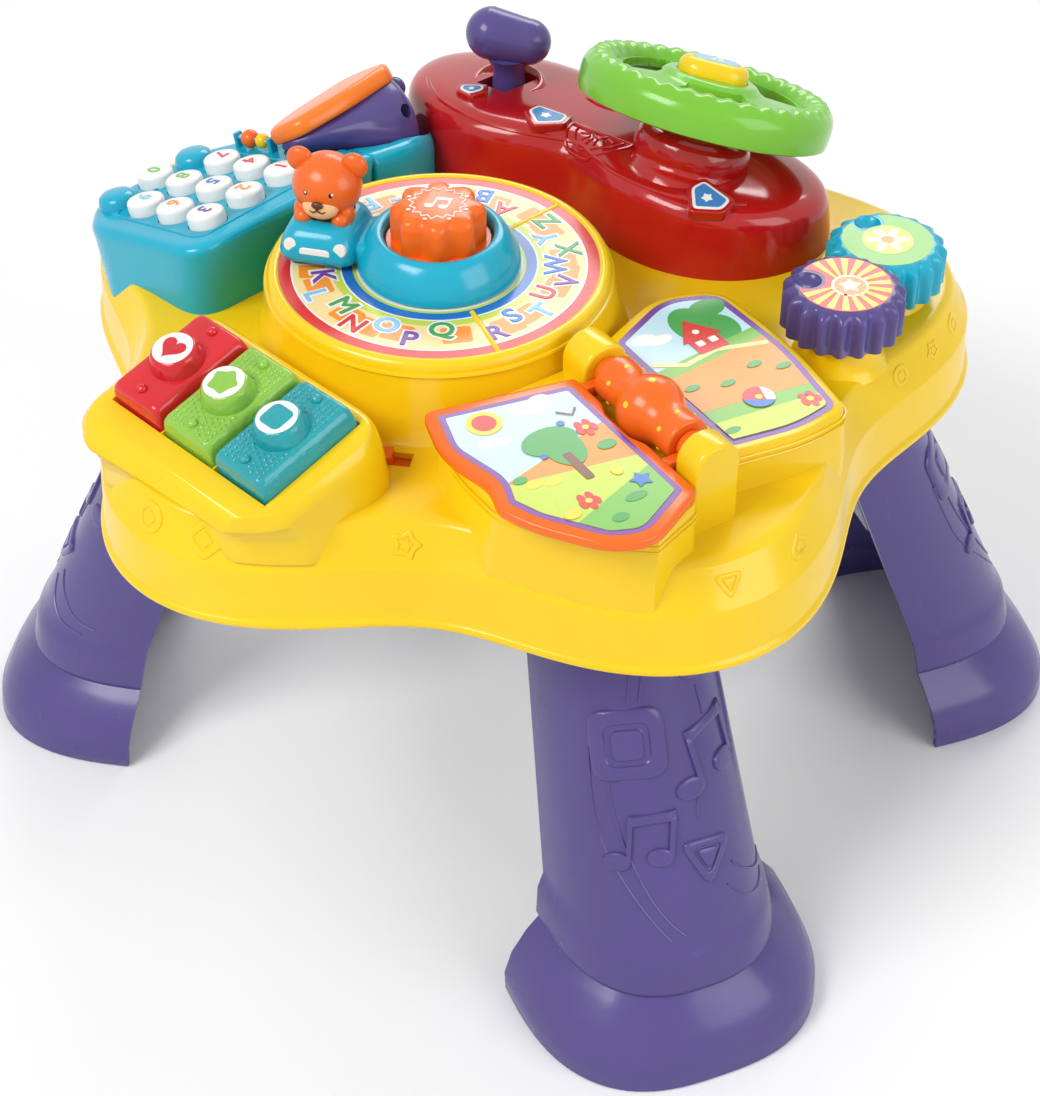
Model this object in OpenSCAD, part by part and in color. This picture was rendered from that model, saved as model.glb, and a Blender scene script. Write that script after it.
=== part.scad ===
// Musical activity table for toddlers.
// A five-lobed table top on four splayed legs carries a turning letter dial, a play phone,
// a play dashboard, a picture book with a turning page, three piano keys and two gears.
// All sizes are millimetres. X runs to the right, Y away from the front, Z up from the floor.

/* [Table top] */
// Mean radius of the rim
rim_r = 160.6; // [155:0.1:175]
// How far each lobe stands out from the mean radius
lobe_out = 16.1; // [12:0.1:18]
// Height of the rim's lower edge above the floor
rim_z = 180; // [150:1:220]
// Height of the lip along the rim's lower edge
lip_h = 3; // [2:0.5:5]
// Height of the skirt above the lip
skirt_h = 20; // [16:0.5:30]
// Height of the sloped band between skirt and flat top
band_h = 16; // [12:0.5:20]
// Width of the sloped band
band_w = 9; // [6:0.5:12]
// Wall thickness of the large mouldings
wall = 2.4; // [2:0.1:3]
// Thickness of the bottom cover
cover_t = 2.6; // [2:0.1:4]

/* [Legs] */
// Half width of a foot on the floor
foot_half = 58.6; // [50:0.1:62]
// Length of a foot from its open back to its toe
foot_len = 68; // [60:0.1:72]
// Half width of a leg where it meets the cover
leg_top_half = 30; // [26:0.5:34]
// Wall thickness of a leg
leg_wall = 3; // [2.4:0.1:4]
// Inward lean of a leg above its ankle, as a slope
leg_lean = 0.379; // [0.3:0.001:0.42]
// Length of the plug at the top of a leg
plug_h = 14; // [10:1:18]

/* [Dial] */
// Radius of the drum's upper edge
drum_r = 60; // [58:0.5:64]
// Height of the drum above the table top
drum_h = 29.5; // [26:0.5:34]
// Radius of the hub's shaft
hub_shaft_r = 13; // [11:0.1:14]
// Outer radius of the turning hub
hub_r = 29; // [27:0.5:31]
// Radius of the push button's lobed body
music_r = 15.5; // [14:0.1:16]
// Travel of the push button
music_travel = 3; // [2:0.1:3.4]

/* [Phone] */
// Diameter of a push button
pb_d = 14.2; // [13:0.1:14.6]
// Spacing of the button columns
pb_pitch_a = 19.6; // [18.6:0.1:21]
// Spacing of the button rows
pb_pitch_b = 17.1; // [16.8:0.1:18]
// Travel of a push button
pb_travel = 1.6; // [1:0.1:2]
// Length of the handset
handset_l = 52; // [50:1:56]

/* [Dashboard] */
// Radius of the steering wheel
wheel_r = 48; // [44:0.5:50]
// Depth of the steering wheel's rim
wheel_rim_h = 15; // [12:0.5:17]
// Length of the dashboard housing
dash_l = 188; // [180:1:192]
// Width of the dashboard housing at its waist
dash_w = 66; // [60:1:68]
// Height of the dashboard housing's side wall
dash_h = 17; // [14:0.5:20]
// Swing of the shift lever to each side, in degrees
shift_swing = 12; // [8:1:12]

/* [Book] */
// Length of the page along the spine
page_l = 75; // [72:0.5:76]
// Width of the turning page
page_w = 56; // [52:0.5:57]
// Thickness of the turning page
page_t = 4; // [3:0.1:4]
// Radius of the spine roller at its middle
spine_r = 12; // [10.5:0.1:12.5]

/* [Piano keys] */
// Length of a key
key_l = 42; // [38:0.5:44]
// Width of a key
key_w = 25.6; // [22:0.1:26]
// Spacing of the keys
key_pitch = 26.8; // [26.6:0.1:28]
// Height of a key above its block
key_h = 8; // [6:0.5:9]
// Travel of a key's outer end
key_travel = 2.2; // [1.5:0.1:2.4]

/* [Gears] */
// Pitch radius of each gear
gear_r = 20.6; // [19:0.1:21]
// Number of ribs on each gear
gear_n = 18; // [16:1:20]
// Height of a rib over the pitch circle
rib_h = 1.3; // [0.8:0.1:1.4]
// Height of each gear
gear_h = 17.5; // [14:0.5:19]

/* [Fits] */
// Radial clearance of a running fit
run = 0.08; // [0.05:0.01:0.1]
// Clearance between a moving piece and its opening
gap = 0.4; // [0.3:0.05:0.5]
// Clearance between a fixed piece and its seat
seat = 0.2; // [0.1:0.05:0.3]

/* [Hidden] */
$fn = 48;

// ---------- shared functions ----------

// Point at radius r and angle a
function polar(r, a) = [r * cos(a), r * sin(a)];

// 2-D points lifted to height z
function lift(pts, z) = [for (p = pts) [p[0], p[1], z]];

// Points of a quadratic curve from p to q with control point c, without its last point
function bend(p, c, q, n) =
    [for (i = [0:n]) let (t = i / n) (1 - t) * (1 - t) * p + 2 * t * (1 - t) * c + t * t * q];

// Outline through corner points [x, y, rounding]; a rounding is at most about half of its edges
function rounded(corners, n = 5) = [
    for (i = [0:len(corners) - 1])
        let (
            m = len(corners),
            c = [corners[i][0], corners[i][1]],
            before = corners[(i + m - 1) % m],
            after = corners[(i + 1) % m],
            p = [before[0], before[1]],
            q = [after[0], after[1]],
            r = min(corners[i][2], 0.48 * norm(p - c), 0.48 * norm(q - c))
        )
        for (v = bend(c + (p - c) / norm(p - c) * r, c, c + (q - c) / norm(q - c) * r, n)) v
];

// Rounded rectangle from x0 to x1 and y0 to y1
function round_rect(x0, x1, y0, y1, r, n = 5) =
    rounded([[x0, y0, r], [x1, y0, r], [x1, y1, r], [x0, y1, r]], n);

// Solid through rings of equally many 3-D points, from the lowest ring to the highest
// With fan, the end faces are triangles round the Z axis
module loft(rings, fan = false) {
    n = len(rings[0]);
    m = len(rings);
    ends = fan ? [for (k = [0, m - 1]) [0, 0, rings[k][0][2]]] : [];
    points = concat([for (ring = rings) for (p = ring) p], ends);
    bottom = fan ? [for (i = [0:n - 1]) [i, (i + 1) % n, m * n]] : [[for (i = [0:n - 1]) i]];
    top = fan ? [for (i = [0:n - 1]) [m * n - n + (i + 1) % n, m * n - n + i, m * n + 1]]
        : [[for (i = [0:n - 1]) m * n - 1 - i]];
    sides = [
        for (k = [0:m - 2], i = [0:n - 1])
            let (j = (i + 1) % n, a = k * n, b = a + n)
                for (face = [[a + i, b + i, b + j], [a + i, b + j, a + j]]) face
    ];
    polyhedron(points, concat(bottom, sides, top), convexity = 8);
}

// Tube of outer radius ro and inner radius ri
module tube(ro, ri, h) {
    difference() {
        cylinder(r = ro, h = h);
        translate([0, 0, -1]) cylinder(r = ri, h = h + 2);
    }
}

// Pan-head screw that points up, with the underside of its head at z = 0
module screw(shank_r, shank_l, head_r, head_h) {
    cylinder(r = shank_r, h = shank_l);
    difference() {
        translate([0, 0, -head_h]) cylinder(r = head_r, h = head_h);
        translate([0, 0, -head_h - 0.1]) cylinder(r = head_r * 0.45, h = head_h * 0.55, $fn = 6);
    }
}

// ---------- the star-shaped table ----------

star_turn = -64.2;
star_n = 90;
cover_drop = 4;
skirt_in = 2.6;
top_z = rim_z + lip_h + skirt_h + band_h;
skirt_z = rim_z + lip_h + skirt_h;
cover_z = rim_z + cover_drop;
inner_z = cover_z + cover_t;
band_in = skirt_in + band_w;

function star_r(a) =
    rim_r + lobe_out * cos(5 * (a - star_turn)) - 0.5 * cos(10 * (a - star_turn));
function star(inset) =
    [for (i = [0:star_n - 1]) let (a = 360 * i / star_n) polar(star_r(a) - inset, a)];
function star_rings(levels) = [for (l = levels) lift(star(l[0]), l[1])];

top_outside = [
    [1, rim_z], [0, rim_z + 1], [0, rim_z + lip_h - 0.6], [1.5, rim_z + lip_h + 0.6],
    [skirt_in, skirt_z], [skirt_in + 1.3, skirt_z + 1.8], [band_in - 2, top_z - 2.2],
    [band_in, top_z - 0.6], [band_in + 3, top_z]
];
top_inside = [
    [skirt_in + wall - 0.4, rim_z - 1], [skirt_in + wall, skirt_z],
    [band_in + wall, top_z - wall - 1], [band_in + wall + 3, top_z - wall]
];

// Screw posts that join the cover to the top, in the valleys between the lobes
post_r = 4;
post_ring = 118;
post_angles = [for (i = [0:4]) star_turn + 36 + 72 * i];
case_shank = 1.4;
case_shank_l = 14;
case_head = 3;

// ---------- legs: reach and angle of the foot, and the way the toe points ----------

legs = [[137, -67.6, -67.9], [165.6, 12.2, 17.9], [165.6, 91, 84.8], [155, 170.3, 171.5]];
leg_n = 18;
ankle_z = 49.8;
ankle_off = 8.5;
leg_top_len = 37;
leg_top_off = ankle_off + leg_lean * (cover_z - ankle_z);

// Levels of a leg: height, how far its open back has moved inward, half width, length, squareness
leg_levels = [
    [0, 0, foot_half, foot_len, 2.7],
    [9, 0.9, foot_half, foot_len - 0.4, 2.7],
    [18, 2.2, foot_half * 0.94, foot_len - 4, 2.6],
    [26, 3.8, foot_half * 0.83, foot_len - 9, 2.5],
    [31, 4.7, foot_half * 0.735, foot_len - 13, 2.5],
    [33, 5.2, foot_half * 0.75, foot_len - 11.8, 2.5],
    [44, 7.4, foot_half * 0.725, foot_len - 12.2, 2.4],
    [ankle_z, ankle_off, foot_half * 0.68, foot_len - 14.7, 2.4],
    [(ankle_z + cover_z) / 2, (ankle_off + leg_top_off) / 2, (foot_half * 0.68 + leg_top_half) / 2,
        (foot_len - 14.7 + leg_top_len) / 2 + 1, 2.3],
    [cover_z, leg_top_off, leg_top_half, leg_top_len, 2.2]
];

function leg_arc(level, inset) = [
    for (i = [0:leg_n])
        let (a = -90 + 180 * i / leg_n, c = max(cos(a), 0), s = sin(a), e = 2 / level[4])
            [
                pow(c, e) * (level[3] - inset) - level[1],
                sign(s) * pow(abs(s), e) * (level[2] - inset),
                level[0]
            ]
];

// Origin at the centre of the floor area that the feet take up
function toe_reach(turn) =
    let (m = 2.7 / 1.7)
        pow(pow(abs(foot_len * cos(turn)), m) + pow(abs(foot_half * sin(turn)), m), 1 / m);
function foot_edge(leg, side) =
    leg[0] * cos(leg[1] - side) + toe_reach(leg[2] - side);
frame_x = (foot_edge(legs[1], 0) - foot_edge(legs[3], 180)) / 2;
frame_y = (foot_edge(legs[2], 90) - foot_edge(legs[0], -90)) / 2;

// Moves a piece from the star's centre to the part's own frame
module place() {
    translate([-frame_x, -frame_y, 0]) children();
}

module at_leg(leg) {
    place() translate(polar(leg[0], leg[1])) rotate([0, 0, leg[2]]) children();
}

// Plug and screws at the head of a leg, in the leg's own frame
plug_u = -leg_top_off + 17;
plug_x = 14;
plug_y = 34;
leg_screw_u = -leg_top_off + 12;
leg_screw_y = 22;
leg_cap_t = 3;
leg_boss_r = 4;
leg_boss_h = 12;
leg_shank_l = 12;

// Half shell between the outer and inner arcs of all levels
module leg_shell() {
    n = leg_n + 1;
    m = len(leg_levels);
    points = [
        for (l = leg_levels) for (p = concat(leg_arc(l, 0), leg_arc(l, leg_wall))) p
    ];
    arcs = [
        for (k = [0:m - 2], i = [0:n - 2])
            let (a = 2 * n * k + i, b = a + 2 * n, c = a + n, d = b + n)
                for (f = [
                    [a, b, b + 1], [a, b + 1, a + 1], [c, d + 1, d], [c, c + 1, d + 1]
                ]) f
    ];
    ends = [
        for (k = [0:m - 2])
            let (a = 2 * n * k, b = a + 2 * n, c = a + n, d = b + n)
                for (f = [
                    [a, c, d], [a, d, b],
                    [a + n - 1, b + n - 1, d + n - 1], [a + n - 1, d + n - 1, c + n - 1]
                ]) f
    ];
    z = 2 * n * (m - 1);
    caps = [
        for (i = [0:n - 2])
            for (f = [
                [i, i + 1, n + i + 1], [i, n + i + 1, n + i],
                [z + i, z + n + i + 1, z + i + 1], [z + i, z + n + i, z + n + i + 1]
            ]) f
    ];
    polyhedron(points, concat(arcs, ends, caps), convexity = 8);
}

web_low = 0.44;
module leg(i) {
    lean = atan(leg_lean);
    web_z = cover_z * (1 - web_low);
    color("slateblue") at_leg(legs[i]) {
        leg_shell();
        difference() {
            union() {
                translate([0, 0, cover_z - leg_cap_t]) linear_extrude(leg_cap_t)
                    polygon([for (p = leg_arc(leg_levels[len(leg_levels) - 1], 1)) [p[0], p[1]]]);
                translate([plug_u - plug_x / 2, -plug_y / 2, cover_z - 1])
                    cube([plug_x, plug_y, plug_h + 1]);
            }
            for (s = [-1, 1])
                translate([leg_screw_u, s * leg_screw_y, cover_z - leg_cap_t - 1])
                    cylinder(r = case_shank + 0.3, h = leg_cap_t + 2);
        }
        // Plate that closes the upper part of the open back
        translate([-ankle_off, 0, ankle_z]) rotate([0, -lean, 0])
            translate([0, 0, (web_z - ankle_z) / cos(lean)]) rotate([90, 0, 90])
                linear_extrude(leg_wall) polygon(rounded([
                    [-leg_top_half - 1, 0, 7], [leg_top_half + 1, 0, 7],
                    [leg_top_half - 3, (cover_z - web_z) / cos(lean) - 1.5, 0.1],
                    [3 - leg_top_half, (cover_z - web_z) / cos(lean) - 1.5, 0.1]
                ]));
    }
}
module leg_front() { leg(0); }
module leg_right() { leg(1); }
module leg_back() { leg(2); }
module leg_left() { leg(3); }

module leg_screws() {
    color("silver") for (l = legs) for (s = [-1, 1])
        at_leg(l) translate([leg_screw_u, s * leg_screw_y, cover_z - leg_cap_t])
            screw(case_shank, leg_shank_l, case_head, 2);
}

// ---------- dial ----------

dial_xy = polar(34.7, star_turn - 72);
drum_flare = 5.5;
rim_lip = 3.2;
track_sink = 1.8;
plate_t = 1.2;
drum_top = top_z + drum_h;
track_z = drum_top - track_sink;
plate_z = track_z + plate_t;
drum_ceiling = track_z - wall;
bush_h = 9;
bush_wall = 2.4;
hub_z = plate_z + 0.4;
hub_h = 14;
hub_floor = 3;
hub_wall = 2.4;
well_r = music_r + 3.9;
retainer_t = 2.4;
retainer_z = drum_ceiling - bush_h - 0.3 - retainer_t;
rib_angles = [-68, 42];
rib_t = 1.8;
rib_r = hub_r + 3;

module at_dial() {
    place() translate(dial_xy) children();
}

module drum_outside() {
    translate(dial_xy) rotate_extrude($fn = 96) polygon([
        [0, top_z - wall / 2], [drum_r + drum_flare, top_z - wall / 2],
        [drum_r + drum_flare, top_z + 0.5], [drum_r + 0.8, drum_top - 3],
        [drum_r, drum_top - 0.9], [drum_r - 1, drum_top], [drum_r - rim_lip + 0.6, drum_top],
        [drum_r - rim_lip, drum_top - 0.6], [drum_r - rim_lip, track_z], [0, track_z]
    ]);
    // Ribs that mark two places on the track
    for (a = rib_angles)
        translate(dial_xy) rotate([0, 0, a]) translate([rib_r, -rib_t / 2, track_z - 1])
            cube([drum_r - rim_lip - rib_r + 1, rib_t, plate_t + 1.4]);
}

module drum_inside() {
    translate(dial_xy) rotate_extrude($fn = 96) polygon([
        [0, rim_z], [drum_r + drum_flare - wall, rim_z],
        [drum_r + drum_flare - wall, top_z + 0.5],
        [drum_r - rim_lip - wall / 2, drum_ceiling], [0, drum_ceiling]
    ]);
}

module letter_plate() {
    color("orange") at_dial() difference() {
        translate([0, 0, track_z])
            tube(drum_r - rim_lip - seat, hub_shaft_r + run + 0.6, plate_t);
        for (a = rib_angles)
            rotate([0, 0, a]) translate([rib_r - seat, -rib_t / 2 - seat, track_z - 1])
                cube([drum_r, rib_t + 2 * seat, plate_t + 2]);
    }
}

arm_angle = 166;
arm_z = drum_top + 1.2;
arm_half = 9;
arm_t = 6;
arm_l = 20;
stem_r = 3;
module dial_hub() {
    color("darkturquoise") at_dial() difference() {
        union() {
            rotate_extrude($fn = 72) polygon([
                [0, hub_z], [hub_r - 0.6, hub_z], [hub_r, hub_z + 1], [hub_r - 0.8, hub_z + 5],
                [hub_r - 3, hub_z + 9], [well_r + 4.4, hub_z + hub_h - 1.2],
                [well_r + 2.4, hub_z + hub_h], [well_r + 0.6, hub_z + hub_h - 0.4],
                [well_r, hub_z + hub_h - 1.6], [0, hub_z + hub_h - 1.6]
            ]);
            translate([0, 0, retainer_z - 0.6])
                cylinder(r = hub_shaft_r, h = hub_z - retainer_z + 1);
            rotate([0, 0, arm_angle]) translate([hub_r - 6, -arm_half, arm_z])
                cube([arm_l + 6, 2 * arm_half, arm_t]);
        }
        translate([0, 0, hub_z + hub_floor]) cylinder(r = well_r, h = hub_h);
        translate([0, 0, retainer_z - 1])
            cylinder(r = hub_shaft_r - hub_wall, h = hub_z - retainer_z + 1);
        cylinder(r = stem_r + run, h = 2 * hub_z);
    }
}

// Ring pressed on the shaft's lower end, which holds the hub down
module hub_retainer() {
    color("white") at_dial() translate([0, 0, retainer_z])
        tube(hub_shaft_r + 4.4, hub_shaft_r + 0.01, retainer_t);
}

// Main board under the drum, with the switch that the push button's stem works
board_t = 1.6;
board_z = top_z - wall - 2.6;
board_half = [42, 32];
board_post = [36, 26];
dome_gap = 0.3;
tact_h = 3;
music_h = 15;
music_flange = 4;
music_z = hub_z + hub_floor + music_travel + 0.6;
stem_low = board_z + board_t + tact_h + dome_gap + music_travel;
music_lobes = [for (i = [0:95]) let (a = i * 3.75) polar(music_r + 1.2 * cos(8 * a), a)];
groove = [4.6, 9, 7];
module music_button() {
    color("darkorange") at_dial() difference() {
        union() {
            translate([0, 0, music_z]) cylinder(r = well_r - gap, h = music_flange);
            translate([0, 0, music_z + 3]) intersection() {
                linear_extrude(music_h) polygon(music_lobes);
                rotate_extrude() polygon([
                    [0, 0], [music_r + 2, 0], [music_r + 2, music_h - 4],
                    [music_r + 0.8, music_h - 1.5], [music_r - 1.6, music_h - 0.2],
                    [music_r - 4, music_h], [0, music_h]
                ]);
            }
            translate([0, 0, stem_low]) cylinder(r = stem_r, h = music_z - stem_low + 1);
        }
        translate([0, 0, music_z - 1]) tube(groove[1], groove[0], groove[2] + 1);
    }
}

// A coil spring as a plain sleeve of its wire's width, that rests on z = 0
module coil(mean_r, wire_r, height) {
    tube(mean_r + wire_r, mean_r - wire_r, height);
}

spring_gap = 0.05;
module music_spring() {
    color("silver") at_dial() translate([0, 0, hub_z + hub_floor + spring_gap])
        coil((groove[0] + groove[1]) / 2, 0.45,
            music_z + groove[2] - hub_z - hub_floor - 2 * spring_gap);
}

// Toy car on the hub's arm: X points along the track, Y towards the hub
car_l = 30;
car_reach = 12;
car_w = 27;
car_h = 13;
bear_z = arm_t + 1;
bear_seat_r = 7.2;
module at_car() {
    at_dial() rotate([0, 0, arm_angle]) translate([hub_r + car_reach, 0, arm_z]) rotate([0, 0, 90])
        children();
}
module bear_car() {
    body = [[1, 5, 0.2], [-0.8, 7, 2.6], [0, 7, 7.5], [2, 7, car_h - 2], [4.2, 5, car_h]];
    color("darkturquoise") at_car() difference() {
        loft([
            for (b = body)
                lift(round_rect(b[0] - car_l / 2, car_l / 2 - b[0], b[0] - car_w / 2,
                    car_w / 2 - b[0], b[1], 4), b[2])
        ]);
        translate([-3, 0, bear_z]) bear_form(0.3);
        translate([-arm_half - seat, car_reach - arm_l - seat, -1])
            cube([2 * (arm_half + seat), car_w + arm_l, arm_t + seat + 1]);
    }
}

// Teddy that sits in the car and looks along the track: body, head, ears, paws, muzzle, grown by g
module bear_form(g) {
    rotate_extrude() polygon([
        [0, 0], [bear_seat_r + g, 0], [bear_seat_r + g, 6.5], [8.4 + g, 8], [8 + g, 11], [5, 14], [0, 14]
    ]);
    translate([0, 0, 16]) sphere(r = 12 + g);
    for (s = [-1, 1]) {
        translate([-1, s * 9.6, 24.4]) rotate([90, 0, 90])
            translate([0, 0, -2.2]) cylinder(r = 4.6, h = 4.4);
        translate([8, s * 7.2, 7.6]) sphere(r = 3.4 + g);
    }
    translate([8.6, 0, 12.6]) sphere(r = 5.6 + g);
}
module bear_figure() {
    color("darkorange") at_car() translate([-3, 0, bear_z]) bear_form(0);
}

// ---------- phone ----------

phone_gap = 54.134; // from the drum's upper edge to the phone's middle
phone_xy = polar(drum_r + phone_gap, 164.345);
phone_turn = 49.5;
phone_tilt = 14;
phone_z = top_z + 23;
phone_wall = 2.2;
pb_h = 5;
pb_flange_t = 1.4;
pb_flange = 1;
pb_seat = phone_wall + gap;
pb_dome_h = 2.4;
mat_t = 1.6;
mat_drop = pb_seat + pb_flange_t + pb_travel + dome_gap + pb_dome_h;
mat_half = pb_pitch_a + 5;
mat_outline = [
    [-mat_half, -pb_pitch_b - 5], [mat_half, -pb_pitch_b - 5], [mat_half, pb_pitch_b + 5],
    [6, 2 * pb_pitch_b + 5], [-6, 2 * pb_pitch_b + 5], [-mat_half, pb_pitch_b + 5]
];
mat_posts = [for (x = [-0.5, 0.5], y = [-0.5, 0.5]) [x * pb_pitch_a, y * pb_pitch_b]];

module at_phone() {
    place() translate([phone_xy[0], phone_xy[1], phone_z]) rotate([0, 0, phone_turn])
        rotate([-phone_tilt, 0, 0]) children();
}
module at_case() {
    place() translate([phone_xy[0], phone_xy[1], 0]) rotate([0, 0, phone_turn]) children();
}

// Button places: three rows of three, and one more in the outer row
function pb_place(k) = k == 0 ? [0, 2 * pb_pitch_b] :
    [(1 - (k - 1) % 3) * pb_pitch_a, (floor((k - 1) / 3) - 1) * pb_pitch_b];

phone_end = 50;
// Outline of the phone's case, grown by g
function phone_outline(g) = rounded([
    [-40 - g, -31 - g, 13], [14, -36 - g, 20], [phone_end + g, -34 - g, 3], [phone_end + g, 24 + g, 3],
    [28, 41 + g, 9], [-22, 44 + g, 9], [-38 - g, 28 + g, 9]
], 4);

// Height of the case's sloped face at a place on it, lowered by drop
function phone_face(p, drop) = phone_z - drop - p[1] * tan(phone_tilt);

module phone_shell(g, low, drop) {
    loft([
        lift(phone_outline(g - 2), low), lift(phone_outline(g - 1), top_z + 1),
        [for (p = phone_outline(0.4 + g)) [p[0], p[1], phone_face(p, 2.4 + drop)]],
        [for (p = phone_outline(g - 1.2)) [p[0], p[1], phone_face(p, drop)]]
    ]);
}

// Handset: its hinge pin, and the frame in which it lies level
handset_pin_at = [77.6, -9.5, top_z + 23];
handset_roll = 34;
handset_rise = 3;
handset_pin_r = 2;
handset_pin_half = 13;
handset_tail = 9;
handset_low = handset_tail - handset_l;
face_z = 12;
belly_r = 20.5;
belly_gap = 0.5;
lug_t = 7;
module at_handset() {
    at_case() translate(handset_pin_at) rotate([-handset_roll, 0, 0])
        rotate([0, -handset_rise, 0]) children();
}

// Rings of the handset's belly along X: place, half width, lowest point
belly_rings = [
    [handset_low, 4, 9], [handset_low + 4, 9, 6], [handset_low + 11, 13, 2],
    [handset_low + 19, 16, -4], [-18, 18, -10], [-10, 19, -17.2], [-3, 19.6, -20],
    [3, 18.6, -19.4], [6.5, 15.6, -15.5], [handset_tail, 11, -9]
];
module belly() {
    rotate([90, 0, 90]) loft([
        for (k = [0:len(belly_rings) - 1])
            let (
                ring = belly_rings[k],
                half = (face_z - ring[2]) * 0.62,
                mid = ring[2] + half,
                cut = asin(min((face_z - mid) / half, 0.99))
            )
                lift([
                    for (i = [0:18]) let (a = 180 - cut + (180 + 2 * cut) * i / 18)
                        [ring[1] * cos(a), mid + half * sin(a)]
                ], ring[0])
    ]);
}

// Hollow that the belly rocks in: a ball round the pin, and a bowl under the handset's low end
bowl = [
    [0, handset_low - 1.5], [6, handset_low - 1.5], [10.6, handset_low + 3.5],
    [14.6, handset_low + 10.5], [18.4, handset_low + 18.5], [23.4, -19], [26.4, -13.5], [26.4, -8],
    [24.4, -2], [0, -2]
];
module belly_bowl() {
    at_handset() translate([0, 0, face_z]) rotate([0, 90, 0]) rotate_extrude($fn = 96)
        polygon(bowl);
}

// Cradle beside the keypad, and a lug in it for the pin
cradle_screw = [84, 17];
cradle_end = phone_end + 0.4 + seat;
function cradle_outline(g) = rounded([
    [cradle_end, -35 - g, 2], [72, -37 - g, 10], [92 + g, -29 - g, 10],
    [101 + g, -6, 12], [93 + g, 18 + g, 10], [76, 28 + g, 8], [cradle_end, 24 + g, 2]
], 5);
function cradle_face(p, drop) = phone_face(p, drop + 1.2 + (p[0] - phone_end) * 0.15);
module phone_cradle() {
    color("darkturquoise") difference() {
        at_case() loft(concat(
            [lift(cradle_outline(0), top_z)],
            [for (l = [[0, 8], [-0.8, 4.4], [-2.2, 1.6], [-4, 0.2]])
                [for (p = cradle_outline(l[0])) [p[0], p[1], cradle_face(p, l[1])]]]
        ));
        at_handset() rotate([90, 0, 0]) sphere(r = belly_r + belly_gap, $fn = 96);
        belly_bowl();
        at_dash() translate([0, 0, top_z - 1]) linear_extrude(60) polygon(dash_ring(1, -1.4));
        at_case() translate([cradle_screw[0], cradle_screw[1], top_z - 1])
            cylinder(r = phone_screw_r, h = phone_screw_l);
    }
    color("darkturquoise") at_handset() difference() {
        union() {
            translate([-5, -lug_t / 2, -belly_r - 2]) cube([10, lug_t, belly_r + 2]);
            rotate([90, 0, 0]) cylinder(r = 5, h = lug_t, center = true);
        }
        rotate([90, 0, 0]) cylinder(r = handset_pin_r + run, h = lug_t + 2, center = true);
    }
}

bead_rail_at = [37.3, 17, 4];
bead_rail_half = 9.6;
bead_rail_r = 1.2;
phone_screws = [[-33, -22], [31, -28], [43, 19], [-14, 35]];
phone_boss_r = 3.6;
phone_screw_l = 12;
phone_screw_r = case_shank + 0.05;
module phone_base() {
    color("darkturquoise") difference() {
        union() {
            difference() {
                at_case() phone_shell(0, top_z, 0);
                at_case() phone_shell(-phone_wall, top_z - 1, phone_wall);
            }
            at_phone() for (s = [-1, 1]) translate([s * pb_pitch_a, 2 * pb_pitch_b, -1])
                rotate_extrude() polygon([[0, 0], [7.4, 0], [7, 3], [5, 4.6], [0, 5.4]]);
            at_phone() for (p = mat_posts) translate([p[0], p[1], -mat_drop])
                cylinder(r = 2.4, h = mat_drop - 1);
            at_phone() for (s = [-1, 1])
                translate([bead_rail_at[0] - 1.8, bead_rail_at[1] + s * bead_rail_half - 0.9, -1])
                    cube([3.6, 1.8, bead_rail_at[2] + bead_rail_r + 1.7]);
            at_case() for (p = phone_screws) translate([p[0], p[1], top_z])
                cylinder(r = phone_boss_r, h = phone_face(p, phone_wall) - top_z + 0.2);
        }
        belly_bowl();
        at_phone() for (k = [0:9]) translate(concat(pb_place(k), -phone_wall - 2))
            cylinder(r = pb_d / 2 + gap, h = phone_wall + 4);
        // Room for the outermost button's flange
        at_phone() translate(concat(pb_place(0), -pb_seat - pb_flange_t - pb_travel - gap))
            cylinder(r = pb_d / 2 + pb_flange + gap, h = pb_flange_t + pb_travel + 2 * gap);
        at_phone() for (p = mat_posts) translate([p[0], p[1], -mat_drop - 1])
            cylinder(r = 1.05, h = mat_drop - 1);
        at_phone() translate(bead_rail_at) rotate([90, 0, 0])
            cylinder(r = bead_rail_r + 0.02, h = 2 * bead_rail_half + 0.8, center = true);
        at_case() for (p = phone_screws) translate([p[0], p[1], top_z - 1])
            cylinder(r = phone_screw_r, h = phone_screw_l);
    }
}

module phone_button(k) {
    r = pb_d / 2;
    low = -pb_seat - pb_flange_t;
    color("white") at_phone() translate(concat(pb_place(k), 0)) rotate_extrude() polygon([
        [0, low], [r + pb_flange, low], [r + pb_flange, -pb_seat], [r, -pb_seat],
        [r, pb_h - 1.2], [r - 0.5, pb_h - 0.4], [r - 1.6, pb_h], [0, pb_h + 0.3]
    ]);
}
module phone_button_1() { phone_button(1); }
module phone_button_2() { phone_button(2); }
module phone_button_3() { phone_button(3); }
module phone_button_4() { phone_button(4); }
module phone_button_5() { phone_button(5); }
module phone_button_6() { phone_button(6); }
module phone_button_7() { phone_button(7); }
module phone_button_8() { phone_button(8); }
module phone_button_9() { phone_button(9); }
module phone_button_0() { phone_button(0); }

// Board with one rubber dome under each button
module phone_dome_mat() {
    color("dimgray") at_phone() translate([0, 0, -mat_drop]) {
        difference() {
            translate([0, 0, -mat_t]) linear_extrude(mat_t) polygon(mat_outline);
            for (p = mat_posts) translate([p[0], p[1], -mat_t - 1])
                cylinder(r = 1.3, h = mat_t + 2);
        }
        for (k = [0:9]) translate(concat(pb_place(k), 0)) cylinder(r1 = 4, r2 = 2.6, h = pb_dome_h);
    }
}

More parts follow.
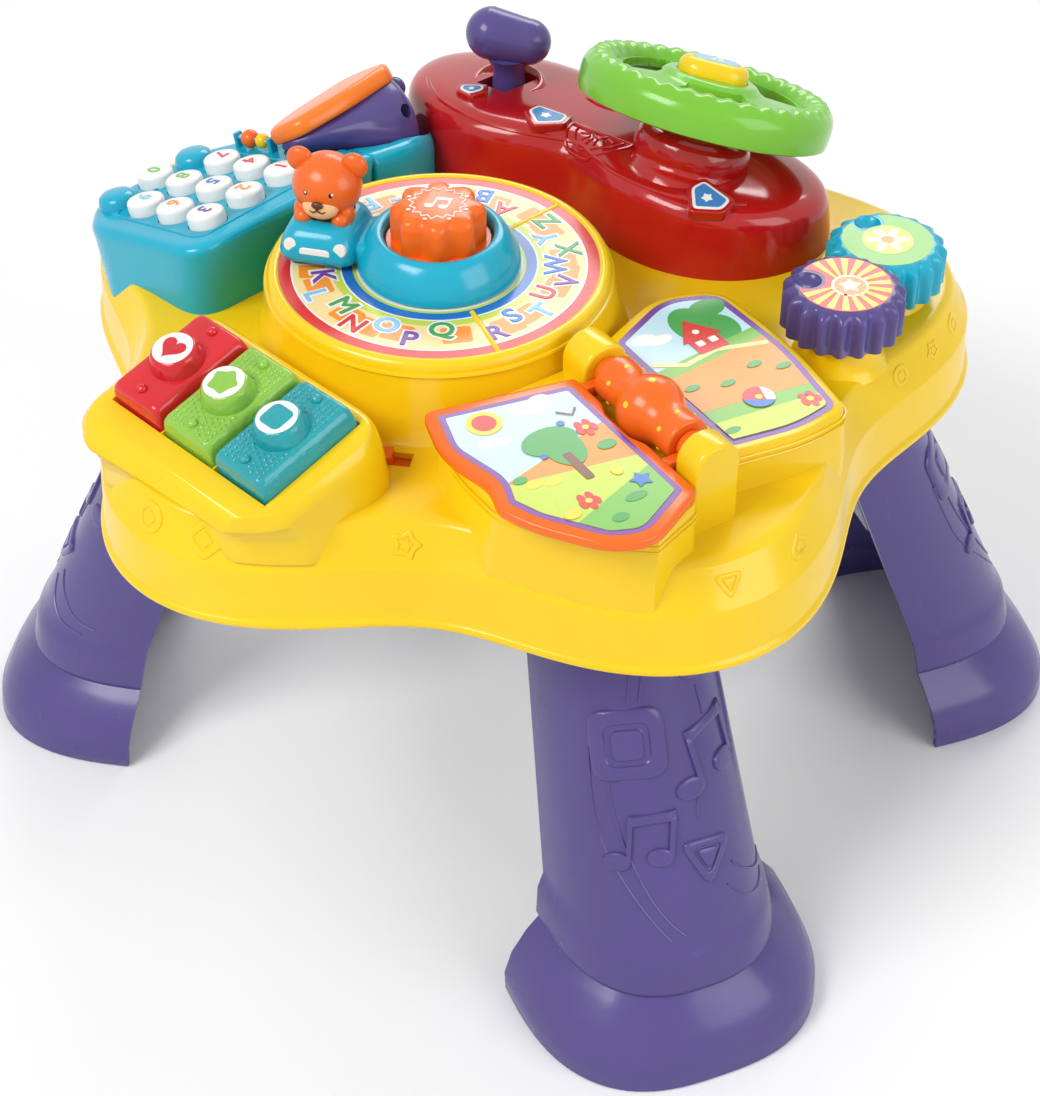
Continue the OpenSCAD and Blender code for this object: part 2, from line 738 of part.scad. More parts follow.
module handset_body() {
    color("slateblue") at_handset() difference() {
        union() {
            belly();
            translate([handset_tail - 3, -2, face_z - 4]) rotate([0, 84, 0])
                cylinder(r1 = 3.4, r2 = 2.6, h = 7);
            translate([handset_tail + 5, -2, face_z - 4.6]) sphere(r = 4.5);
        }
        translate([-belly_r - 4, -lug_t / 2 - gap, -40])
            cube([belly_r + 22, lug_t + 2 * gap, 46]);
        rotate([90, 0, 0]) cylinder(r = handset_pin_r + 0.02, h = 60, center = true);
        for (s = [-1, 1]) translate([0, s * (handset_pin_half + 10), 0]) rotate([90, 0, 0])
            cylinder(r = 2.8, h = 20, center = true);
    }
}
face_half = 17;
function face_outline(g) = rounded([
    [handset_low - g, -9 - g, 7], [-22, -face_half - g, 16], [handset_tail - 4, -face_half + 1 - g, 10],
    [handset_tail + 1 + g, -7, 6], [handset_tail + 1 + g, 7, 6],
    [handset_tail - 4, face_half - 1 + g, 10], [-22, face_half + g, 16], [handset_low - g, 9 + g, 7]
], 4);
module handset_face() {
    color("darkorange") at_handset() translate([0, 0, face_z + 0.02]) loft([
        lift(face_outline(-0.4), 0), lift(face_outline(0.6), 1.4), lift(face_outline(0.6), 4.8),
        lift(face_outline(-1.6), 7)
    ]);
}
module handset_pin() {
    color("silver") at_handset() rotate([90, 0, 0])
        cylinder(r = handset_pin_r, h = 2 * handset_pin_half, center = true);
}

module bead_rail() {
    color("silver") at_phone() translate(bead_rail_at) rotate([90, 0, 0])
        cylinder(r = bead_rail_r, h = 2 * bead_rail_half + 0.6, center = true);
}
bead_r = [3.6, 2.9];
bead_rest = [2.6, 2.2 + bead_r[1] - bead_rail_half];
module bead(i, tint) {
    color(tint) at_phone() translate(bead_rail_at + [0, bead_rest[i], 0]) difference() {
        sphere(r = bead_r[i]);
        rotate([90, 0, 0]) cylinder(r = bead_rail_r + run, h = 20, center = true);
    }
}
module bead_orange() { bead(0, "darkorange"); }
module bead_yellow() { bead(1, "gold"); }

// ---------- piano keys ----------

keys_xy = [-93, -97];
keys_turn = 45;
keys_tilt = 13.8;
keys_z = top_z + 26;
key_wall = 1.8;
rod_at = [19, -15.5];
rod_r = 1.5;
rod_half = 42.4;
lug_r = 3.2;
key_board_x = [-20, -6];
plunger_x = -13;
plunger_low = -13.6;
key_dome_h = 4;
key_board_z = plunger_low - key_travel - dome_gap - key_dome_h;
key_post_x = -16;
key_post_y = 42.5;
key_slot = gap + 0.5;

module at_keys() {
    place() translate([keys_xy[0], keys_xy[1], keys_z]) rotate([0, 0, keys_turn])
        rotate([0, -keys_tilt, 0]) children();
}

// A point of the keys' level frame, seen from the star's centre
function key_point(p) = keys_xy
    + [p[0] * cos(keys_turn) - p[1] * sin(keys_turn), p[0] * sin(keys_turn) + p[1] * cos(keys_turn)];
// Height of the block's sloped face, lowered by drop
function key_face(p, drop) = keys_z - key_h / cos(keys_tilt) - drop + p[0] * tan(keys_tilt);
// Point drawn in until it lies inside the star's edge
function pull(p, inset) =
    let (r = norm(p), m = star_r(atan2(p[1], p[0])) - inset) r > m ? p * (m / r) : p;

// Levels of the block: outer, inner and side reach, rounding, share of the height, drop
key_levels = [
    [38, 33, 52, 19, 0, 0], [37, 32, 51, 18, 0.3, 0], [34.5, 30, 49, 16, 1, 6],
    [31, 27.6, 46.6, 12, 1, 1.6], [27.5, 25, 44.4, 8, 1, 0]
];
block_low = skirt_z + 3;
module key_block(inset, drop, low) {
    loft(concat(
        [lift([
            for (p = round_rect(inset - 40, 33 - inset, inset - 53, 53 - inset, 20 - inset))
                pull(key_point(p), 3.6 + inset)
        ], low)],
        [for (l = key_levels) [
            for (p = round_rect(inset - l[0], l[1] - inset, inset - l[2], l[2] - inset, l[3] - inset))
                let (q = pull(key_point(p), 3.2 + inset - 4.8 * l[4]))
                    [q[0], q[1], top_z - 1.5 + (key_face(p, l[5] + drop) - top_z + 1.5)
                        * (l[4] == 0 ? 0 : l[4])]
        ]]
    ));
}

module key(i, tint) {
    half = key_w / 2;
    color(tint) at_keys() translate([0, (1 - i) * key_pitch, 0]) difference() {
        union() {
            loft([
                lift(round_rect(-key_l / 2, key_l / 2, -half, half, 2), -12.8),
                lift(round_rect(-key_l / 2, key_l / 2, -half, half, 2), -key_h + 1),
                lift(round_rect(-key_l / 2 + 0.5, key_l / 2 - 0.5, 1.2 - half, half - 1.2, 2.6), -1.8),
                lift(round_rect(-key_l / 2 + 2, key_l / 2 - 2, 3 - half, half - 3, 3), 0)
            ]);
            rotate_extrude() polygon([[0, -3], [9.7, -3], [9.2, 2], [8, 5], [7, 6], [0, 6]]);
            for (s = [-1, 1]) translate([s * (key_l / 2 - 5), 0, 0]) sphere(r = 1.8);
            translate([rod_at[0], half - 4, rod_at[1]]) rotate([90, 0, 0])
                cylinder(r = lug_r, h = key_w - 8);
            translate([rod_at[0] - 1.6, 4 - half, rod_at[1]]) cube([3.2, key_w - 8, 5]);
        }
        translate([-key_l / 2 + key_wall, key_wall + 1 - half, -20])
            cube([key_l - 8, key_w - 2 * key_wall - 2, 18]);
        translate([rod_at[0], 0, rod_at[1]]) rotate([90, 0, 0])
            cylinder(r = rod_r + run, h = 60, center = true);
    }
    color(tint) at_keys() translate([plunger_x, (1 - i) * key_pitch, plunger_low]) {
        cylinder(r = 2.4, h = -plunger_low - 1.9);
        translate([-6.4, -0.8, 2]) cube([12, 1.6, -plunger_low - 3.9]);
    }
}
module key_red() { key(0, "red"); }
module key_green() { key(1, "limegreen"); }
module key_teal() { key(2, "teal"); }

module key_rod() {
    color("silver") at_keys() translate([rod_at[0], 0, rod_at[1]]) rotate([90, 0, 0])
        cylinder(r = rod_r, h = 2 * rod_half, center = true);
}

key_board_cut = 3; // its two outer corners are cut off, clear of the block's wall
module key_board() {
    end = key_post_y + 2.4;
    color("seagreen") at_keys() difference() {
        translate([0, 0, key_board_z - board_t]) linear_extrude(board_t) polygon([
            [key_board_x[1], -end], [key_board_x[1], end], [key_board_x[0] + key_board_cut, end],
            [key_board_x[0], end - key_board_cut], [key_board_x[0], key_board_cut - end],
            [key_board_x[0] + key_board_cut, -end]
        ]);
        for (s = [-1, 1]) translate([key_post_x, s * key_post_y, key_board_z - 3])
            cylinder(r = 1.3, h = 6);
    }
    color("dimgray") at_keys() for (i = [-1:1])
        translate([plunger_x, i * key_pitch, key_board_z])
            cylinder(r1 = 4, r2 = 2.8, h = key_dome_h);
}

// ---------- book ----------

book_xy = [49.5, -105];
book_turn = -57.6;
book_z = top_z + 17.6;
axis_z = top_z + 24;
axis_y = -1;
bracket_r = 9;
brackets = [[-44, 14], [22.6, 11.4]];
spine_x = [-29.6, 22];
knuckle_t = 4;
pin_r = 2;
page_low = book_z + 1.2;

module at_book() {
    place() translate([book_xy[0], book_xy[1], 0]) rotate([0, 0, book_turn]) children();
}
function book_point(p) = book_xy
    + [p[0] * cos(book_turn) - p[1] * sin(book_turn), p[0] * sin(book_turn) + p[1] * cos(book_turn)];

// Outline of the open book's base
book_outline = rounded([
    [-44, -60, 8], [-20, -67, 12], [14, -66, 12], [44, -50, 10], [49, -38, 10], [38, -11, 4],
    [23, -10, 3], [22, 10, 3], [27, 40, 12], [24, 61, 6], [-12, 67, 14], [-56, 66, 9],
    [-65, 44, 12], [-52, 14, 8], [-46, 0, 6]
], 4);
function book_ring(g, z) = lift([
    for (p = book_outline) pull(book_point(p * (1 + g / 52)), 4 - min(g, 0))
], z);
module book_base(g, low, drop) {
    loft([
        book_ring(g + 1.2, low), book_ring(g + 1.2, top_z), book_ring(g, book_z - 3 - drop),
        book_ring(g - 1.4, book_z - drop)
    ]);
}
module bracket(b, low) {
    translate([b[0], axis_y - bracket_r, low]) cube([b[1], 2 * bracket_r, axis_z - low]);
    translate([b[0], axis_y, axis_z]) rotate([0, 90, 0]) cylinder(r = bracket_r, h = b[1]);
}

module flip_page() {
    edge = spine_r + 0.7;
    x0 = spine_x[0];
    x1 = spine_x[1];
    mid = (x0 + x1) / 2;
    outer = axis_y - edge - page_w + 1;
    color("darkorange") at_book() difference() {
        union() {
            translate([0, 0, page_low]) linear_extrude(page_t) polygon(concat(rounded([
                [mid - page_l / 2 - 3, outer + 4, 4], [mid - 18, outer - 2.5, 10],
                [mid + 4, outer + 2.5, 8], [mid + 15, outer - 1.5, 4], [mid + 28, outer + 3.5, 8],
                [mid + page_l / 2 + 11, outer + 18, 8], [mid + page_l / 2 + 17, outer + 32, 10],
                [mid + page_l / 2 + 4, axis_y - bracket_r - 1.4, 4]
            ], 5), [
                [x1, axis_y - bracket_r - 1.4], [mid + 13, axis_y - bracket_r - 1.4],
                [mid + 7, axis_y - edge], [mid - 7, axis_y - edge],
                [mid - 13, axis_y - bracket_r - 1.4], [x0, axis_y - bracket_r - 1.4],
                [mid - page_l / 2 + 8, axis_y - bracket_r - 1.4]
            ]));
            for (x = [x0, x1 - knuckle_t]) {
                translate([x, axis_y, axis_z]) rotate([0, 90, 0]) cylinder(r = 5.4, h = knuckle_t);
                translate([x, axis_y - bracket_r - 3, page_low]) cube([knuckle_t, bracket_r + 3, page_t]);
            }
        }
        translate([x0 - 1, axis_y, axis_z]) rotate([0, 90, 0])
            cylinder(r = pin_r + run, h = x1 - x0 + 2);
    }
}

module spine_roller() {
    h = spine_x[1] - spine_x[0] - 2 * knuckle_t - 0.8;
    color("darkorange") at_book() translate([spine_x[0] + knuckle_t + 0.4, axis_y, axis_z])
        rotate([0, 90, 0]) rotate_extrude() polygon([
            [pin_r + run, 0], [7.8, 0], [8.4, 1], [8, h * 0.22], [8.8, h * 0.3],
            [spine_r - 1, h * 0.39], [spine_r, h * 0.5], [spine_r - 1, h * 0.61],
            [8.8, h * 0.7], [8, h * 0.78], [8.4, h - 1], [7.8, h], [pin_r + run, h]
        ]);
}

// Hollow under the roller, grown by g and cut level at height top over the axis
module spine_trough(g, top) {
    at_book() intersection() {
        translate([spine_x[0] + knuckle_t - g, axis_y, axis_z]) rotate([0, 90, 0])
            cylinder(r = spine_r + gap + g, h = spine_x[1] - spine_x[0] - 2 * knuckle_t + 2 * g);
        translate([-50, -50, axis_z - 50]) cube([100, 100, 50 + top]);
    }
}

pin_seat = 5;
module spine_pin() {
    color("silver") at_book() translate([spine_x[0] - pin_seat, axis_y, axis_z])
        rotate([0, 90, 0]) cylinder(r = pin_r, h = spine_x[1] - spine_x[0] + 2 * pin_seat);
}

// ---------- gears ----------

gears = [[117, -38, top_z + 12], [137, 0, top_z + 5.5]];
gear_line = atan2(gears[1][1] - gears[0][1], gears[1][0] - gears[0][0]);
axle_r = 5;
axle_drop = 7;
gear_screw_l = 10.8;
module at_gear(i) {
    place() translate(gears[i]) children();
}
module gear_pads(low) {
    for (g = gears) translate([g[0], g[1], low]) cylinder(r = 15, h = g[2] - 0.4 - low);
}
module gear_axle(i) {
    at_gear(i) difference() {
        translate([0, 0, -2]) cylinder(r = axle_r, h = gear_h - axle_drop + 2);
        translate([0, 0, gear_h - axle_drop - gear_screw_l - 1])
            cylinder(r = case_shank + 0.05, h = gear_screw_l + 2);
    }
}
module gear(i, tint) {
    sign = i == 0 ? 1 : -1;
    ribs = [
        for (k = [0:gear_n * 6 - 1])
            let (a = 60 * k / gear_n)
                polar(gear_r + sign * rib_h * cos(gear_n * a), a + gear_line + (i == 0 ? 0 : 180))
    ];
    color(tint) at_gear(i) difference() {
        intersection() {
            linear_extrude(gear_h) polygon(ribs);
            rotate_extrude($fn = 96) polygon([
                [0, 0], [gear_r + 2, 0], [gear_r + 2, gear_h - 3], [gear_r, gear_h - 1.2],
                [gear_r - 1.2, gear_h - 0.3], [gear_r - 2.2, gear_h], [0, gear_h]
            ]);
        }
        translate([0, 0, -1]) cylinder(r = axle_r + run, h = gear_h);
        translate([0, 0, -1]) tube(gear_r - 3.6, axle_r + 4.6, gear_h - 2);
        translate([0, 0, gear_h - axle_drop - 0.6]) cylinder(r = 7.2, h = 4.8);
        rotate([0, 0, i == 0 ? 168 : 118]) translate([13, 0, gear_h + 3]) sphere(r = 5.6);
    }
}
module gear_purple() { gear(0, "slateblue"); }
module gear_teal() { gear(1, "darkturquoise"); }

// ---------- dashboard ----------

dash_xy = [41, 82];
dash_turn = -37.6;
dash_slope = 10;
dash_back = 0.8;
dash_wall = 2.2;
dash_a = (dash_l + dash_w) / 4;
dash_b = (dash_l - dash_w) / 4;
module at_dash() {
    place() translate([dash_xy[0], dash_xy[1], 0]) rotate([0, 0, dash_turn]) children();
}
// Point of the housing's outline in direction a; its far half is flatter than its near half
function dash_edge(a, inset) =
    let (p = polar(dash_a + dash_b * cos(2 * a) - inset, a)) [p[0], p[1] > 0 ? p[1] * dash_back : p[1]];
function dash_ring(s, inset) = [
    for (i = [0:63])
        let (a = 360 * i / 64, p = dash_edge(a, inset) * s) p
];
// Height of the housing at a place, for a level h above the table top
function dash_z(p, h) = top_z + h - p[1] * tan(dash_slope) * h / (dash_h + 9);
// Crown of the housing: share of the outline, and height above the side wall
dash_crown = [[1, 4], [0.92, 6.6], [0.75, 8.4], [0.45, 9.2], [0.16, 9.4]];
function dash_skin(p) =
    let (s = norm(p) / norm(dash_edge(atan2(p[1], p[0]), 4)))
        dash_z(p, dash_h + lookup(s, dash_crown));
module dash_shell(inset, low, drop) {
    levels = concat([[1, -1, 0], [1, 1, dash_h]], [for (l = dash_crown) [l[0], 4, dash_h + l[1]]]);
    loft(concat([lift(dash_ring(1, inset - 1), low)], [
        for (l = levels)
            [for (p = dash_ring(l[0], l[1] + inset))
                [p[0], p[1], dash_z(p, l[2] == 0 ? 1 : l[2]) - (l[2] == 0 ? 0 : drop)]]
    ]));
}

wheel_at = [75, 58, top_z + 57];
wheel_lean = 23;
wheel_turn = 52;
shaft_r = 6;
column_top = -21;
column_low = -52;
column_r = [19, 27];
hub_low = -17;
module at_wheel() {
    place() translate(wheel_at) rotate([0, wheel_lean, wheel_turn]) children();
}
module column_form(g, low) {
    rotate_extrude() polygon([
        [0, low], [column_r[1] + g, low], [column_r[1] - 2.5 + g, -42], [column_r[1] - 6 + g, -33],
        [column_r[0] + 3 + g, column_top - 3 + g], [column_r[0] + g, column_top + g],
        [0, column_top + g]
    ]);
}

lever_xy = [-50, -4];
lever_z = top_z + 12;
lever_r = 6.5;
lever_top = top_z + 57;
lever_pin_r = 2;
lever_pin_half = 12;
lever_boss = 9;
dash_boss_angles = [-42, 20, 138, 184, 226];
dash_screws = [for (a = dash_boss_angles) dash_edge(a, 8.6)];
dash_boss_r = 3.8;
dash_screw_l = 12;
badge_places = [[-16, -24, 6], [64.5, -32, -8], [-51.8, -25, 30]];
badge_size = [1, 1, 0.62];

module dash_housing() {
    slot = lever_r + (dash_h + 9 + dash_slope - 12) * tan(shift_swing);
    color("firebrick") {
        difference() {
            union() {
                difference() {
                    union() {
                        at_dash() dash_shell(0, top_z - 3, 0);
                        at_wheel() column_form(0, column_low);
                    }
                    at_dash() dash_shell(dash_wall, top_z - 5, dash_wall);
                    at_wheel() column_form(-dash_wall, column_low + 1);
                    at_wheel() translate([0, 0, column_low]) cylinder(r = shaft_r + run, h = 40);
                }
                at_dash() translate([lever_xy[0], lever_xy[1], top_z + dash_h + 2])
                    cylinder(r1 = 16, r2 = 13.4, h = 9);
                for (i = [0:2]) at_badge(i) translate([0, 0, -2.6])
                    linear_extrude(3.1 + badge_t) badge_shape(i, badge_rim);
            }
            for (i = [0:2]) at_badge(i) translate([0, 0, 0.5])
                linear_extrude(badge_t + 1.8) badge_shape(i, seat);
            // Slot that the lever swings in
            at_dash() translate([lever_xy[0] - lever_r - 0.6, lever_xy[1] - slot - 0.8, top_z + 2])
                cube([2 * lever_r + 1.2, 2 * slot + 1.6, 60]);
            place() translate([0, 0, top_z / 2]) cube([500, 500, top_z], center = true);
        }
        // Bearing of the steering shaft
        at_wheel() translate([0, 0, column_top - 14]) tube(shaft_r + 3, shaft_r + run, 14 - dash_wall / 2);
        // Cheeks that carry the lever's pin
        at_dash() for (s = [-1, 1]) difference() {
            translate([lever_xy[0] + s * (lever_boss + 1.8) - 1.4, lever_xy[1] - 5, lever_z - 4])
                cube([2.8, 10, top_z + dash_h + 3 - lever_z + 4]);
            translate([lever_xy[0], lever_xy[1], lever_z]) rotate([0, 90, 0])
                cylinder(r = lever_pin_r + 0.02, h = 60, center = true);
        }
        at_dash() for (p = dash_screws) translate([p[0], p[1], top_z])
            tube(dash_boss_r, case_shank + 0.05, dash_skin(p) - dash_wall / 2 - top_z);
    }
}

collar_t = 2.4;
module steering_shaft() {
    color("white") at_wheel() {
        translate([0, 0, column_top - 14 - 0.4 - collar_t]) cylinder(r = shaft_r + 3, h = collar_t);
        translate([0, 0, column_top - 15]) cylinder(r = shaft_r, h = -column_top + 15 - 10.52);
    }
}

horn_r = 9;
horn_half = 4.5;
horn_travel = 2.5;
horn_low = -8.5;
horn_top = 6.5;
module capsule(r, h) {
    for (s = [-1, 1]) translate([s * horn_half, 0, 0]) cylinder(r = r, h = h);
    translate([-horn_half, -r, 0]) cube([2 * horn_half, 2 * r, h]);
}
module steering_wheel() {
    color("limegreen") at_wheel() difference() {
        rotate_extrude($fn = 96) polygon([
            [0, hub_low], [11, hub_low], [11, -6], [wheel_r - 12.4, -6],
            [wheel_r - 12.4, -wheel_rim_h + 1], [wheel_r - 10, -wheel_rim_h + 1],
            [wheel_r - 10, -3.4], [wheel_r - 3, -3.4], [wheel_r - 2.4, -wheel_rim_h],
            [wheel_r, -wheel_rim_h], [wheel_r + 0.5, -7], [wheel_r - 0.4, -3],
            [wheel_r - 2.6, -0.8], [wheel_r - 5.6, 0], [wheel_r - 9, -0.4], [wheel_r - 11.6, -2.4],
            [19, -2.4], [17, 0.5], [0, 0.5]
        ]);
        // Three openings between the spokes
        for (a = [-90, 30, 150]) rotate([0, 0, a - wheel_turn]) intersection() {
            translate([0, 0, -12]) tube(wheel_r - 14.5, 18.5, 16);
            linear_extrude(40, center = true)
                polygon([[0, 0], 60 * polar(1, -37), [75, 0], 60 * polar(1, 37)]);
        }
        translate([0, 0, horn_low]) rotate([0, 0, -wheel_turn]) capsule(horn_r + gap, 20);
        translate([0, 0, hub_low - 1]) cylinder(r = shaft_r + 0.01, h = 7.5);
    }
}
module horn_button() {
    color("gold") at_wheel() rotate([0, 0, -wheel_turn]) difference() {
        union() {
            translate([0, 0, horn_low + horn_travel + 0.5])
                capsule(horn_r, horn_top - horn_low - horn_travel - 2);
            translate([0, 0, horn_top - 2]) capsule(horn_r - 1.4, 2);
        }
        translate([0, 0, horn_low + horn_travel - 1]) tube(6.4, 3.4, 6);
    }
}
module horn_spring() {
    color("silver") at_wheel() translate([0, 0, horn_low + spring_gap])
        coil(4.9, 0.4, horn_travel + 5 - 2 * spring_gap);
}

module shift_lever() {
    color("slateblue") at_dash() translate([lever_xy[0], lever_xy[1], 0]) difference() {
        union() {
            translate([0, 0, lever_z]) cylinder(r = lever_r, h = lever_top - lever_z - 10);
            translate([0, 0, lever_z]) rotate([0, 90, 0])
                cylinder(r = lever_r, h = 2 * lever_boss, center = true);
            rotate([0, 0, -dash_turn - 12]) hull() {
                translate([-6.5, 0, lever_top - 10.4]) sphere(r = 10.4, $fn = 32);
                translate([8, 0, lever_top - 12.5]) sphere(r = 9, $fn = 32);
                translate([0, 0, lever_top - 24]) cylinder(r = lever_r - 1, h = 2, $fn = 32);
            }
        }
        translate([0, 0, lever_z]) rotate([0, 90, 0])
            cylinder(r = lever_pin_r + run, h = 40, center = true);
    }
}
module shift_pin() {
    color("silver") at_dash() translate([lever_xy[0], lever_xy[1], lever_z]) rotate([0, 90, 0])
        cylinder(r = lever_pin_r, h = 2 * lever_pin_half, center = true);
}

// Small plates in raised frames on the housing
badge_t = 1.2;
badge_rim = 1.8;
module badge_shape(i, g) {
    k = badge_size[i];
    polygon(rounded([
        [-7.5 * k - g, -1 - g / 2, 2], [0, -8 * k - 1.3 * g, 2], [7.5 * k + g, -1 - g / 2, 2],
        [6.5 * k + g, 4.6 * k + g, 2], [-6.5 * k - g, 4.6 * k + g, 2]
    ], 3));
}
module at_badge(i) {
    p = [badge_places[i][0], badge_places[i][1]];
    slope_x = dash_skin(p + [4, 0]) - dash_skin(p - [4, 0]);
    slope_y = dash_skin(p + [0, 4]) - dash_skin(p - [0, 4]);
    at_dash() translate([p[0], p[1], dash_skin(p)])
        rotate([atan(slope_y / 8), -atan(slope_x / 8), badge_places[i][2]]) children();
}
module dash_badges() {
    color("steelblue") for (i = [0:2])
        at_badge(i) translate([0, 0, 0.5]) linear_extrude(badge_t) badge_shape(i, 0);
}

// ---------- table top, cover and what they hold ----------

switch_xy = [-42, -98];
switch_turn = -10;
switch_travel = 6;
switch_knob = [5, 6, 2.6];
module table_top() {
    slot_l = switch_knob[0] + switch_travel + 2 * gap;
    color("gold") {
        difference() {
            union() {
                place() loft(star_rings(top_outside), fan = true);
                place() drum_outside();
                place() key_block(0, 0, block_low);
                place() book_base(0, block_low, 0);
                place() gear_pads(top_z - 1);
                at_book() bracket(brackets[0], book_z - 1);
                at_book() bracket(brackets[1], top_z - 1);
            }
            place() loft(star_rings(top_inside), fan = true);
            place() drum_inside();
            place() key_block(wall, wall, rim_z);
            place() book_base(-wall, rim_z, wall);
            // Openings for the keys
            at_keys() for (i = [-1:1])
                translate([-key_l / 2 - key_slot, i * key_pitch - key_w / 2 - 0.3, -14])
                    cube([key_l + key_slot + gap, key_w + 0.6, 20]);
            at_book() translate([spine_x[0] - pin_seat - 0.2, axis_y, axis_z]) rotate([0, 90, 0])
                cylinder(r = pin_r + 0.02, h = spine_x[1] - spine_x[0] + 2 * pin_seat + 0.4);
            spine_trough(0, 4);
            place() translate(dial_xy) translate([0, 0, drum_ceiling - bush_h - 1])
                cylinder(r = hub_shaft_r + run, h = 60);
            place() translate(concat(switch_xy, top_z - 10)) rotate([0, 0, switch_turn])
                translate([-switch_knob[0] / 2 - gap, -switch_knob[1] / 2 - gap, 0])
                    cube([slot_l, switch_knob[1] + 2 * gap, 20]);
            // Screw holes under the phone and the dashboard, and in the gears' pads
            at_case() for (p = concat(phone_screws, [cradle_screw])) translate([p[0], p[1], top_z - 9]) {
                cylinder(r = case_shank + 0.3, h = 10);
                cylinder(r = case_head + 0.2, h = 9 - wall);
            }
            at_dash() for (p = dash_screws) translate([p[0], p[1], top_z - 9])
                cylinder(r = case_shank + 0.3, h = 10);
        }
        difference() {
            spine_trough(wall, book_z - axis_z - 0.5);
            spine_trough(0, 4);
        }
        at_dial() translate([0, 0, drum_ceiling - bush_h])
            tube(hub_shaft_r + bush_wall, hub_shaft_r + run, bush_h + 0.5);
        for (i = [0, 1]) gear_axle(i);
        place() for (a = post_angles) translate(polar(post_ring, a)) translate([0, 0, inner_z])
            tube(post_r, case_shank + 0.05, top_z - wall / 2 - inner_z);
        at_dial() for (x = [-1, 1], y = [-1, 1])
            translate([x * board_post[0], y * board_post[1], board_z + board_t])
                tube(3, 1.05, drum_ceiling - board_z - board_t + 0.5);
        // Bearings of the keys' rod, and posts of their board
        at_keys() for (s = [-1, 1]) {
            difference() {
                translate([rod_at[0] - 4, s * 41.9 - 1.7, rod_at[1] - 3.5])
                    cube([8, 3.4, -key_h - 1 - rod_at[1] + 3.5]);
                translate([rod_at[0], 0, rod_at[1]]) rotate([90, 0, 0])
                    cylinder(r = rod_r + 0.02, h = 120, center = true);
            }
            translate([key_post_x, s * key_post_y, key_board_z])
                tube(2.4, 1.05, -key_h - 1 - key_board_z);
        }
    }
}

cover_in = skirt_in + wall + 0.25;
bay_at = [0, 10];
bay = [50, 58, 17];
door_t = 2.2;
door_edge = 2;
frame_h = 2.4;
speaker_at = [-58, -46];
speaker_r = 25;
grille_r = 1.7;
grille_pitch = 6;
function grille_holes(n) = [
    for (ring = [0:3], k = [0:max(ring * 6 - 1, 0)])
        polar(ring * grille_pitch, ring == 0 ? 0 : 60 * k / ring)
];
module bottom_cover() {
    bay_z = cover_z + door_t + 0.1;
    sx = bay[0] / 2;
    sy = bay[1] / 2;
    color("whitesmoke") difference() {
        union() {
            place() translate([0, 0, cover_z]) linear_extrude(cover_t) polygon(star(cover_in));
            place() translate([bay_at[0] - sx - 4.4, bay_at[1] - sy - 4.4, cover_z])
                cube([bay[0] + 8.8, bay[1] + 8.8, door_t + frame_h]);
            place() translate([bay_at[0] - sx - 2, bay_at[1] - sy - 2, cover_z])
                cube([bay[0] + 4, bay[1] + 4, door_t + bay[2] + 2]);
            for (l = legs) at_leg(l) {
                translate([plug_u - plug_x / 2 - seat - 2, -plug_y / 2 - seat - 2, cover_z])
                    cube([plug_x + 2 * seat + 4, plug_y + 2 * seat + 4, plug_h + seat + 2]);
                for (s = [-1, 1]) translate([leg_screw_u, s * leg_screw_y, cover_z])
                    cylinder(r = leg_boss_r, h = leg_boss_h);
            }
            // Wall that centres the loudspeaker
            place() translate([speaker_at[0], speaker_at[1], cover_z])
                tube(speaker_r + seat + 1.8, speaker_r + seat, cover_t + 5);
        }
        place() translate([bay_at[0] - sx, bay_at[1] - sy, cover_z - 1])
            cube([bay[0], bay[1], door_t + bay[2] + 1]);
        place() translate([bay_at[0] - sx - door_edge - seat, bay_at[1] - sy - door_edge - seat, cover_z - 1])
            cube([bay[0] + 2 * (door_edge + seat), bay[1] + 2 * (door_edge + seat), door_t + 1.1]);
        for (l = legs) at_leg(l) {
            translate([plug_u - plug_x / 2 - seat, -plug_y / 2 - seat, cover_z - 1])
                cube([plug_x + 2 * seat, plug_y + 2 * seat, plug_h + seat + 1]);
            for (s = [-1, 1]) translate([leg_screw_u, s * leg_screw_y, cover_z - 1])
                cylinder(r = case_shank + 0.05, h = leg_shank_l);
        }
        place() for (a = post_angles) translate(polar(post_ring, a)) translate([0, 0, cover_z - 1]) {
            cylinder(r = case_shank + 0.3, h = 10);
            cylinder(r = case_head + 0.3, h = 1 + case_head_h + 0.05);
        }
        place() for (p = grille_holes(3))
            translate([speaker_at[0] + p[0], speaker_at[1] + p[1], cover_z - 1])
                cylinder(r = grille_r, h = cover_t + 2);
        place() translate([bay_at[0], bay_at[1] - sy - door_edge + 5.2, cover_z - 1])
            cylinder(r = case_shank + 0.05, h = 0.5);
    }
}

case_head_h = 1.2;
module case_screws() {
    color("silver") place() for (a = post_angles) translate(polar(post_ring, a))
        translate([0, 0, cover_z + case_head_h]) screw(case_shank, case_shank_l, case_head, case_head_h);
}

module battery_door() {
    color("whitesmoke") place() translate([bay_at[0], bay_at[1], cover_z]) difference() {
        union() {
            translate([-bay[0] / 2 - door_edge, -bay[1] / 2 - door_edge, 0])
                cube([bay[0] + 2 * door_edge, bay[1] + 2 * door_edge, door_t]);
            for (y = [-9, 0, 9]) translate([-18, y - 0.6, door_t - 0.1]) cube([36, 1.2, 0.6]);
        }
        // Finger notch
        translate([0, bay[1] / 2 - 3, -6.4]) rotate([0, 90, 0]) cylinder(r = 7.6, h = 16, center = true);
    }
}

